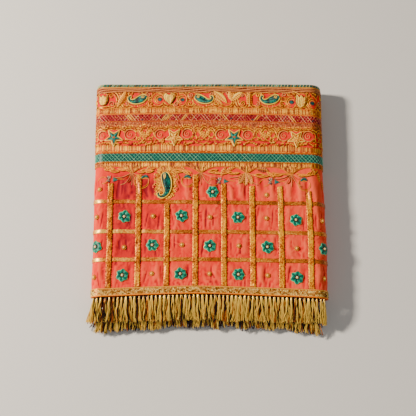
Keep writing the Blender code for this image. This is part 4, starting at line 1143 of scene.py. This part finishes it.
# Green dots of the scroll band: centre u, v, radius
SCROLL_DOTS = (
    (-71.1, 153.6, 3.1), (-38.6, 152.8, 2.9), (118.4, 150.4, 3.2), (148.6, 149.4, 3), (176.5, 153, 2.6),
)
# One side of a heart and of a tulip, from the point below to the top
HEART = ((0, -1), (0.42, -0.62), (0.82, -0.05), (0.9, 0.5), (0.62, 0.86), (0.28, 0.72), (0.04, 0.32))
TULIP = ((0, -1), (0.5, -0.82), (0.8, -0.3), (0.84, 0.3), (0.74, 0.95), (0.42, 0.5), (0.04, 0.9))


def heart(work, at, size, turn=0, lobe=HEART):
    """Two ribbed lobes that meet in a point below, as a heart or tulip."""
    size = size * 0.52
    inner = turned(np.linspace((0, -1), (0.05, 0.32), 22) * size, at, turn)
    for side in (-1, 1):
        edge = curve(turned(np.array(lobe) * (side * size, size), at, turn), 22)
        # The left lobe is lighter than the right: painted light from the left
        tone = 0.74 + 0.22 * np.sin(np.arange(22) * 1.7) - 0.08 * side
        satin(work["cream"], inner, edge, np.array((1.3, 2.4, 2.3, 1.2)), 0.6, 0.5, tone)
        couch(work["gold"], edge[::3], 0.5, 0.9, 0.3, 1.2, under=work["brown"])
        for share in (0.36, 0.7):
            couch(work["brown"], (inner * (1 - share) + edge * share)[2::4], 0.34, 0.5, 0.3, 2.45)


def scalloped(line, low, pitch):
    """Upper edge of a satin border, in shallow scallops."""
    return low + 1.2 * np.abs(np.sin(line * math.pi / pitch)) + 0.6 * np.sin(line * 0.31)


def scrolls(rng):
    """The scroll band: satin border below, motifs in a row and couched curls between them."""
    work = Stitches("scroll")
    us = columns(0.92)
    bumps = scalloped(us, 139.2, 15)
    fill(work["gold"], us, 131.9, bumps, rng, 0.52, 0.34, 7, 0.5, 0.85)
    fill(work["cream"], us[::2], 132.4, bumps[::2] - 1, rng, 0.4, 0.3, 3.2, 0.42, 1.05)
    cord(work["gold"], scalloped(LINE, 139.5, 15), 0.9, 0.5, 0.6, 0.62)
    cord(work["orange"], 131.5, 0.9, 0.5, 0.6, 0.5)
    gaps = [(u, v, radius + 1.2, tall) for u, v, radius, tall in SCROLL_GAPS]
    swirl(work, 140.6, 164.8, gaps + [(u, v, radius + 0.2, 1) for u, v, radius, *_ in SCROLL_CURLS], rng)
    for k, (*at, radius, turns, start, way) in enumerate(SCROLL_CURLS):
        piece = work["brown" if k % 2 else "gold"]
        tone = 0.68 + 0.15 * rng.uniform(-1, 1) + 0.14 * (k % 2)
        spiral(piece, at, radius, turns, start, way, 0.56, tone, 1.1, 0.9, under=work["brown"])
    for *at, radius in SCROLL_DOTS:
        dot(work["green"], at, radius, 0.4)
        arc(work["cream"], at, radius + 1.3, 20, 250, 0.45, 0.55)
        arc(work["gold"], at, radius + 3.8, 70, 265, 0.55, 0.7, under=work["brown"])
        arc(work["gold"], at, radius + 5.6, 80, 250, 0.4, 0.6)
        arc(work["gold"], at, radius + 3.4, -75, 45, 0.45, 0.5)
    heart(work, (-152.3, 153.6), 16, 0, TULIP)
    heart(work, (-57.5, 155.4), 18.5, 6)
    heart(work, (132.4, 152.6), 19, -4, TULIP)
    couch(work["cream"], ((132.6, 144), (132.4, 152), (132, 160.5)), 0.6, 0.8, 0.9, 2.2)
    leaf(work["gold"], (-126, 154.5), 64, 28, 5.4, 0.46, 1.2, -0.06, 0.6, work["cream"])
    leaf(work["gold"], (58.6, 153.5), 88, 23, 4.6, 0.44, 1.2, 0.05, 0.5, work["cream"])
    for *at, turn, length, half, tone in (
        (15.5, 156.4, -44, 26, 4.6, 0.6), (11.5, 149.6, -34, 18, 3, 0.42), (40, 157.4, 40, 20, 4.4, 0.62),
        (31, 158.6, 104, 16, 4, 0.56),
    ):
        leaf(work["cream"], at, turn, length, half, tone, 1.5, bend=0.05, rib=work["gold"])
    for colour, half, rise, tone, points in (
        ("gold", 0.55, 0.55, 0.6, ((5, 148), (14, 143.8), (26, 147), (38, 148.6), (47, 153.5))),
        ("gold", 0.5, 0.55, 0.4, ((8, 145), (20, 141.8), (32, 144.6), (44, 146.2))),
        ("cream", 0.8, 0.9, 0.6, ((119, 167.5), (125, 165), (131, 161.4))),
        ("gold", 0.5, 0.55, 0.6, ((66, 167), (76, 164), (84, 163.4), (92, 161), (96, 164.6))),
        ("gold", 0.6, 0.55, 0.6, ((-160, 144), (-150, 142.6), (-140, 144.4), (-131, 143.4))),
        ("gold", 0.5, 0.55, 0.6, ((-143.5, 157.5), (-141, 162), (-136.5, 160), (-133.5, 156.5))),
    ):
        couch(work[colour], points, half, rise, tone)
    for centre in (-103, -8, 87.2):
        for angle in range(-150, -10, 20):
            near, far = (
                turned((r, 0), (0, 0), angle) * (1, squash) + (centre, 152.6)
                for r, squash in ((9.6, 0.82), (12.2, 0.86))
            )
            tone = np.array([0.6 + 0.2 * rng.uniform(-1, 1)])
            satin(work["gold"], near[None], far[None], 0.95, 0.55, 0.5, tone)
        for first in (142, -38):
            for k, radius in enumerate((15.5, 17.6)):
                arc(work["gold"], (centre, 153), radius, first, first + 76, 0.5, 0.55 - 0.15 * k)
    work.make()


def red_band(rng):
    """Crossed pale threads on deep red."""
    work = Stitches("red_lattice")
    lattice(work["pink"], 120.2, 130.6, 4.6, rng, 0.27, 0.5, 0.8, 0.24)
    for u, way in ((-113, 1), (-108, 1), (-66, -1), (-61, -1), (-38, -1), (24, 1), (66, -1), (121, 1)):
        low = np.array(((u, 120.4), (u + 3.2 * way, 120.4)))
        satin(work["cream"], low, low + (-8 * way, 10), 1.05, 0.5, 0.5, np.array((0.5, 0.7)), points=6)
    count = 420
    flecks = np.column_stack((rng.uniform(U_FIRST + 4, U_LAST - 4, count), rng.uniform(120.8, 130.2, count)))
    slant = np.column_stack((rng.choice((-0.6, 0.6), count), np.full(count, 0.7)))
    pale = flecks[:, 0] % 3 < 0.8
    for colour, use, tone in (("cream", pale, 0.55), ("red", ~pale, 0.1)):
        shade = tone + 0.25 * rng.uniform(-1, 1, use.sum())
        satin(work[colour], (flecks - slant)[use], (flecks + slant)[use], 1.05, 0.42, 0.4, shade, points=3)
    for v in (120, 130.7):
        cord(work["gold"], v, 0.9, 0.45, 0.5, 0.5)
    for u in (-96, -62, 31, 62, 148):
        dot(work["grey"], (u, 125 + 3 * math.sin(u)), 1.4, 0.2, 1)
    work.make()


# Ringed spirals of the star band: centre u, v, radius
STAR_CIRCLES = (
    (-151.5, 98.8, 6), (-112.8, 100, 6.8), (-70, 99.6, 6.4), (-31.5, 100.6, 6.4), (16.6, 99.6, 6.6),
    (54.6, 99.4, 6.4), (106, 99.4, 6.6), (141, 99.4, 6.8),
)
# Coral left open in each drop between the stars: u from its middle, v, radius, height over width
DROP_GAPS = (
    (-9.5, 100.5, 2.6, 1.5), (9.5, 100.5, 2.6, 1.5), (-3.6, 95.5, 2.2, 1.2), (3.8, 95, 2.2, 1.2),
    (0, 103.5, 2.2, 1.4), (-14, 94, 2.4, 0.8), (14, 94, 2.4, 0.8),
)
# Middle, half width and depth of the swags between the stars, and the middles of the two at the folds
STAR_SWAGS = ((-92, 15, 13), (-7, 17, 9.5), (80, 17, 11.5))
STAR_SIDES = (158, -165)


def star_ground(rng):
    """The star band: dull gold swags above, ringed spirals and leaf lines, satin border below."""
    work = Stitches("star_band")
    gaps = [(u, v, radius + 1, 1) for u, v, radius in STAR_CIRCLES]
    gaps += [(u + side * 5, v + 0.5, radius - 0.6, 1) for u, v, radius in STARS for side in (-1, 1)]
    for centre in [row[0] for row in STAR_SWAGS] + [*STAR_SIDES]:
        gaps += [(centre + du, *rest) for du, *rest in DROP_GAPS]
    swirl(work, 91, 119.2, gaps, rng, 7, pitch=1.1, band=2.7, reach=1.35)
    for *at, radius in STAR_CIRCLES:
        spiral(work["brown"], at, radius - 1.6, 1.4, 70, 1, 0.4, 0.85, rise=0.9)
        arc(work["brown"], at, radius + 0.8, 30, 340, 0.42, 0.9, 1.3, 0.8, under=work["brown"])
    for centre, half, depth in STAR_SWAGS:
        for side in (-1, 1):
            s = np.array((1, 0.75, 0.5, 0.25, 0.05))
            edge = np.column_stack((centre + side * half * s, 107.4 - depth * smooth(1 - s)))
            couch(work["gold"], edge, 0.5, 0.6, 0.6)
            for du, v, lean, length, wide, tone in ((6, 102, 38, 15, 2, 0.66), (3.5, 96.5, 55, 10, 1.6, 0.5)):
                at = (centre + side * du, v)
                leaf(work["gold"], at, 90 - side * lean, length, wide, tone, 1.25, bend=0.08 * side)
        leaf(work["cream"], (centre, 100), 90, 10, 1.8, 0.4, 1.25)
    wave = 88.6 + 1.6 * np.abs(np.sin(LINE * math.pi / 13)) - 0.8 * np.cos(LINE * 0.15)
    cord(work["brown"], wave + 1.6, 0.9, 0.35, 0.5, 0.12)
    cord(work["orange"], wave - 3, 0.85, 0.35, 0.5, 0.45)
    for u in np.arange(U_FIRST + 8, U_LAST - 6, 3.4):
        turn = 90 + (1 if rng.random() < 0.5 else -1) * rng.uniform(15, 85)
        v = 87.4 + 1.2 * math.sin(u * 0.24) + rng.uniform(-1.3, 1.3)
        length = rng.uniform(4.2, 7)
        colour = "orange" if rng.random() < 0.65 else "cream" if rng.random() < 0.6 else "red"
        tone = {"orange": 0.58, "cream": 0.5, "red": 0.9}[colour] + 0.14 * rng.uniform(-1, 1)
        leaf(work[colour], (u, v), turn, length, 1.3, tone, 1.3)
        # A dark leaf just below and right of each leaf: painted shadow
        leaf(work["brown"], (u + 0.7, v - 0.8), turn, length, 1.4, 0.05, 0.8)
    us = columns(0.92)
    top = 84 + 1.4 * np.sin(us * 0.075) + 0.7 * np.abs(np.sin(us * math.pi / 9))
    fill(work["gold"], us, 75.6, top, rng, 0.52, 0.34, 12, 0.5, 0.85)
    fill(work["cream"], us[::3] + 0.4, 76.4, top[::3] - 1.2, rng, 0.36, 0.3, 5, 0.4, 1.05)
    cord(work["orange"], 74.9, 0.9, 0.55, 0.6, 0.5 + 0.35 * rng.uniform(-1, 1, (1, len(LINE), 1)))
    cord(work["gold"], 74, 0.85, 0.4, 0.5, 0.5)
    work.make()


def green_band(rng):
    """Crossed mint threads on teal."""
    work = Stitches("green_lattice")
    lattice(work["mint"], 60.2, 72.5, 5.3, rng, 0.22, 0.56, vary=0.1)
    for v, tone in ((59.8, 0.6), (72.9, 0.45), (59.2, 0.35)):
        cord(work["gold"], v, 0.95, 0.5, 0.55, tone)
    work.make()


EDGING_LOW = 53.6
PAISLEY_DROP = -60.7
# Points of the border that hang: middle, depth
EDGING_DROPS = ((-109.4, 10.2), (PAISLEY_DROP, 10.6), (-12.5, 9.6), (52.8, 9.6), (114.8, 10.6))
DROP_HALF = 24
# Lens shapes under the border: centre u, v, length, turn
LENSES = (
    (-141, 49.5, 15, 8), (-134, 46.4, 14, -4), (-124, 48.8, 12, 170), (-92, 47.6, 11, 8), (-84, 46, 12, 12),
    (-45, 46.6, 15, -10), (-33, 44.2, 13, -30), (5, 46.8, 14, 16), (12, 44, 9, -8), (30, 44.2, 12, -14),
    (38, 43.8, 9, 10), (70, 41.4, 16, 2), (86, 42.6, 14, -36), (96, 42, 12, 0), (131, 42.4, 12, 6),
    (140, 44.5, 10, 40),
)
# Pale leaves: centre u, v, turn, length, half width
EDGING_LEAVES = (
    (-150, 53, -32, 17, 3), (-140, 50.5, -40, 12, 2.6), (-84, 50.5, 34, 15, 2.6), (-40, 50.5, -30, 15, 2.4),
    (20, 45.5, 62, 15, 2.8), (29, 48.5, 24, 15, 2.6), (128, 52, 14, 13, 2.6), (146, 48, -66, 13, 2.6),
    (154, 40, -80, 13, 2.4), (161, 30, -84, 13, 2.2),
)
# Orange lines that run under the border
EDGING_LINES = (
    ((88, 45), (98, 43), (108, 43.4), (118, 42)), ((-54, 49.5), (-42, 48.4), (-30, 46), (-25, 43)),
    ((-2, 45), (8, 43.4), (20, 42.6), (30, 46)), ((-128, 47.6), (-121, 48.6), (-114, 46)),
    ((-102, 45), (-94, 44), (-86, 48), (-76, 50.5)), ((60, 42), (70, 38.5), (80, 39.5), (90, 44)),
    ((122, 44.5), (134, 41.4), (146, 44), (154, 50)),
)
# Stalks of a hanging bud, from its own middle
BUD_STALKS = (
    ((10, 0), (15, 0.8), (21, -0.6)), ((-3, 1), (-8, 3.4), (-14, 1), (-17, -3)),
    ((-2, -3), (-6, -6), (-11, -7)),
)
# Small leaves round the hanging comma: centre u, v, turn
PAISLEY_LEAVES = (
    (-77, 38, 60), (-76, 30, 80), (-45, 30, 100), (-46, 38, 120), (-46, 20, 70), (-79, 24, 100),
    (-72, 12, 40),
)
# Rays from each point of the border: angle from straight down, length
RAYS = ((-74, 26), (-60, 21), (-42, 24), (-22, 15), (0, 18), (20, 12), (40, 23), (62, 19), (76, 25))


def edging_low(u):
    low = np.full(u.shape, EDGING_LOW)
    for centre, depth in EDGING_DROPS:
        low -= depth * np.clip(1 - np.abs(u - centre) / DROP_HALF, 0, 1) ** 1.8
    return low


def edging(rng):
    """The border under the green band and the motifs that hang from it."""
    piece = Piece()
    u = stations(U_FIRST + 2, U_LAST - 2, 1.3)[:, None]
    low = edging_low(u)
    v = low + (59 - low) * np.linspace(0, 1, 8)
    piece.shell(np.broadcast_to(u, v.shape), v, SEAM + 0.4, SEAM, 0.34)
    piece.make("edging_ground", GOLD, "gold_embroidery", ("scallop_edging",))
    work = Stitches("edging")
    us = columns(0.86)
    low = edging_low(us)
    fill(work["gold"], us, low - 0.3, 58.9, rng, 0.45, 0.36, 6, 0.48, 0.8)
    cord(work["cream"], low[::2] - 0.4, 0.7, 0.5, 0.6, 0.35, us[::2])
    for centre, depth in EDGING_DROPS:
        tip = EDGING_LOW - depth
        for k, du in enumerate((-20, -14, -9, -5, -1.5, 2, 5.5, 9.5, 14.5, 20.5)):
            pleat = np.array(((du, 58.4), (0.62 * du, 54 - 0.25 * depth), (0.12 * du, tip + 0.6)))
            colour, tone = (("gold", 0.62), ("brown", 0.3))[k % 2]
            couch(work[colour], pleat + (centre, 0), 0.28, 0.3, tone, 0.95)
        for k, (lean, reach) in enumerate(RAYS if centre != PAISLEY_DROP else ()):
            du, dv = turned((0, -reach), (0, 0), lean)
            line = np.array(((0, 0.8), (0.5 * du + 0.8, 0.72 * dv), (du, dv + 0.5))) + (centre, tip)
            colour, tone = (("brown", 0.75), ("cream", 0.2))[k % 2]
            couch(work[colour], line, 0.36, 0.5, tone, 0.4, under=None if k % 3 else work["red"])
    for k, (*at, length, turn) in enumerate(LENSES):
        for side in (-0.1, 0.1):
            line = np.array(((-0.5, 0), (-0.2, side), (0.1, 1.1 * side), (0.5, 0))) * length
            couch(work["orange"], turned(line, at, turn), 0.65, 0.9, 0.62, 0.6, under=work["brown"])
        if k % 2 == 0:
            leaf(work["orange"], at, turn, length * 0.92, length * 0.08, 0.5, 0.5)
    for *at, turn, length, half in EDGING_LEAVES:
        leaf(work["cream"], at, turn, length, half, 0.34, 0.55, bend=0.06)
    leaf(work["brown"], (75, 48.6), -8, 17, 4.4, 0.42, 0.75, bend=0.05, rib=work["gold"])
    for line in EDGING_LINES:
        couch(work["orange"], line, 0.6, 0.8, 0.6, 0.5, under=work["brown"])
        couch(work["cream"], np.array(line) + (0, 1.5), 0.4, 0.5, 0.4, 0.5)
    for at, way in (((-91, 38.6), 1), ((-31, 38.6), -1), ((132.6, 36.6), 1)):
        outer, inner = (
            curve(turned(np.array(points) * (way, 1), at), 13)
            for points in (
                ((-5, -2.6), (-3.6, 1), (0, 3), (3.6, 1.8), (5.4, -1.6)),
                ((-3.6, -3), (-1.8, -2.4), (0, -1.6), (2, -1.7), (4.6, -2.2)),
            )
        )
        satin(work["green"], inner, outer, 0.75, 0.5, 0.55, 0.45 + 0.1 * np.sin(np.arange(13)), crown=0.4)
        couch(work["cream"], inner[::3] - (0, 0.7), 0.5, 0.6, 0.6, 0.4)
    for *at, radius in ((-95.5, 31.6, 10.4), (-31, 31.6, 8.6), (133, 28.5, 8.4)):
        arc(work["cream"], at, radius, 118, 395, 0.5, 0.4, 0.35, 0.6)
        arc(work["gold"], at, radius - 1.6, 150, 360, 0.4, 0.5, 0.35)
    for at in ((-140.5, 34.5), (15, 32.5), (86.6, 32.6)):
        hanging_bud(work, at)
    hanging_tulip(work)
    paisley_ground(work, rng)
    work.make()


def hanging_bud(work, at):
    """Grey leaves, a green point and three pale stalks."""
    for turn, length in ((150, 7.4), (115, 6.8), (75, 6), (215, 6.6), (262, 6)):
        leaf(work["grey"], turned((3, 0), at, turn), turn, 0.85 * length, 1.4, 0.12 + 0.5 * (turn % 2), 0.5)
    t = np.linspace(0.05, 0.95, 9)[:, None]
    tip, *sides = turned(((12.4, 0), (5, 4), (5, -4)), at, -4)
    low, high = (side * (1 - t) + tip * t for side in sides)
    satin(work["green"], low, high, 0.6, 0.5, 0.45, np.full(9, 0.5), crown=0.3)
    for line in BUD_STALKS:
        couch(work["cream"], turned(line, at), 0.48, 0.6, 0.4, 0.35)


def hanging_tulip(work):
    """Three ribbed petals under the border, right of the middle."""
    t = np.linspace(0, 1, 9)
    for u, turn, length, half in ((45.2, -118, 17, 3.6), (50.6, -90, 19, 4), (56.2, -64, 17, 3.6)):
        at = (u, 35.8)
        leaf(work["brown"], at, turn, length, half, 0.6, 0.75, rib=work["cream"])
        for side in (-1, 1):
            edge = side * (half + 0.3) * np.sin(math.pi * t**0.8) ** 0.8
            line = turned(np.column_stack(((t - 0.5) * length, edge)), at, turn)
            couch(work["cream"], line, 0.45, 0.7, 0.45, 0.7)


def paisley_ground(work, rng):
    """Speckled ground with small leaves round the hanging paisley."""
    count = 2600
    u, v = rng.uniform(-84, -39, count), rng.uniform(6, 50, count)
    middle = -59.5 - 0.1 * (44 - v)
    half = np.interp(v, (6, 9, 14, 20, 28, 38, 50), (7, 12.5, 14.5, 15.5, 17, 19, 15))
    use = np.abs(u - middle) < half * (0.9 + 0.1 * np.sin(v * 0.9 + u * 0.3))
    at = np.column_stack((u, v))[use]
    angle = rng.uniform(0, math.pi, len(at))
    step = np.column_stack((np.cos(angle), np.sin(angle))) * 1.3
    shade = 0.55 + 0.35 * rng.uniform(-1, 1, len(at))
    satin(work["gold"], at - step, at + step, 0.4 + 0.5 * rng.random((len(at), 1)), 0.5, 0.4, shade, points=3)
    for *at, turn in PAISLEY_LEAVES:
        leaf(work["coral"], at, turn, 6, 1.6, 0.7, 0.75)


def stage_and_light():
    """Pale floor, soft light with a warm key from the upper left, and the photo's camera."""
    mesh = bpy.data.meshes.new("floor")
    mesh.from_pydata([(-6, -6, 0), (6, -6, 0), (6, 6, 0), (-6, 6, 0)], [], [(0, 1, 2, 3)])
    floor = put("floor", mesh)
    pale = bpy.data.materials.new("floor")
    world = bpy.data.worlds.new("studio")
    for owner, kind, colour, key, value in (
        (pale, "Principled BSDF", (0.72, 0.7, 0.67, 1), "Roughness", 0.8),
        (world, "Background", (1, 0.97, 0.93, 1), "Strength", 0.22),
    ):
        owner.use_nodes = True
        inputs = owner.node_tree.nodes[kind].inputs
        inputs[0].default_value = colour
        inputs[key].default_value = value
    mesh.materials.append(pale)
    bpy.context.scene.world = world
    aim = np.array((0, 0, 0.03))
    for name, spot, size, power, colour in (
        ("key", (-1.72, 0.38, 1.35), 0.28, 104, (1, 0.9, 0.76)),
        ("fill", (0.7, -0.9, 1.3), 1.6, 5, (1, 0.97, 0.93)),
    ):
        light = bpy.data.lights.new(name, "AREA")
        light.energy, light.size, light.color = power, size, colour
        lamp = put(name, light)
        lamp.location = spot
        u, v, up = spot - aim
        lamp.rotation_euler = (math.atan2(math.hypot(u, v), up), 0, math.atan2(v, u) + math.pi / 2)
    camera = bpy.data.cameras.new("camera")
    camera.sensor_width = 36
    camera.lens = 70.96
    camera.clip_start, camera.clip_end = 0.01, 50
    seat = put("camera", camera)
    seat.location = (-0.0021, -0.2631, 1.1537)
    seat.rotation_euler = (math.radians(13), 0, 0)
    bpy.context.scene.camera = seat


rng = np.random.default_rng(12)
cloth = veil_cloth()
folded = folded_edges()
for name, low, high, step, look_of, slot, replaces, thick, tone in (
    ("top_edge_ground", 164.55, 183.4, 1.6, GREEN, "brown_gold_embroidery", ("top_edge_band",), 0.5, 0.5),
    ("top_edge_brown_ground", 164, 172.6, 1.7, BROWN, "brown_gold_embroidery", (), 0.75, 0.36),
    ("scroll_ground", 131.25, 164.25, 2.4, CORAL, "coral_cloth", ("scroll_band",), 0.4, 0.5),
    ("red_lattice_ground", 119.75, 130.95, 1.6, RED, "red_lattice", ("red_lattice_band",), 0.5, 0.5),
    ("star_ground", 73.65, 119.45, 2.4, CORAL, "coral_cloth", ("star_band",), 0.4, 0.5),
    ("green_lattice_ground", 59.35, 73.35, 1.6, GREEN, "green_lattice", ("green_lattice_band",), 0.5, 0.36),
):
    ground(name, low, high, step, look_of, slot, replaces, thick, tone)
long_ribbons(rng)
ribbon_seams()
cross_ribbons(rng)
flowers(rng)
beads()
knots()
hem_braid(rng)
for band in (top_edge, scrolls, paisleys, red_band, star_ground, stars, green_band, edging):
    band(rng)
for row in ROWS:
    fringe(*row)
stage_and_light()
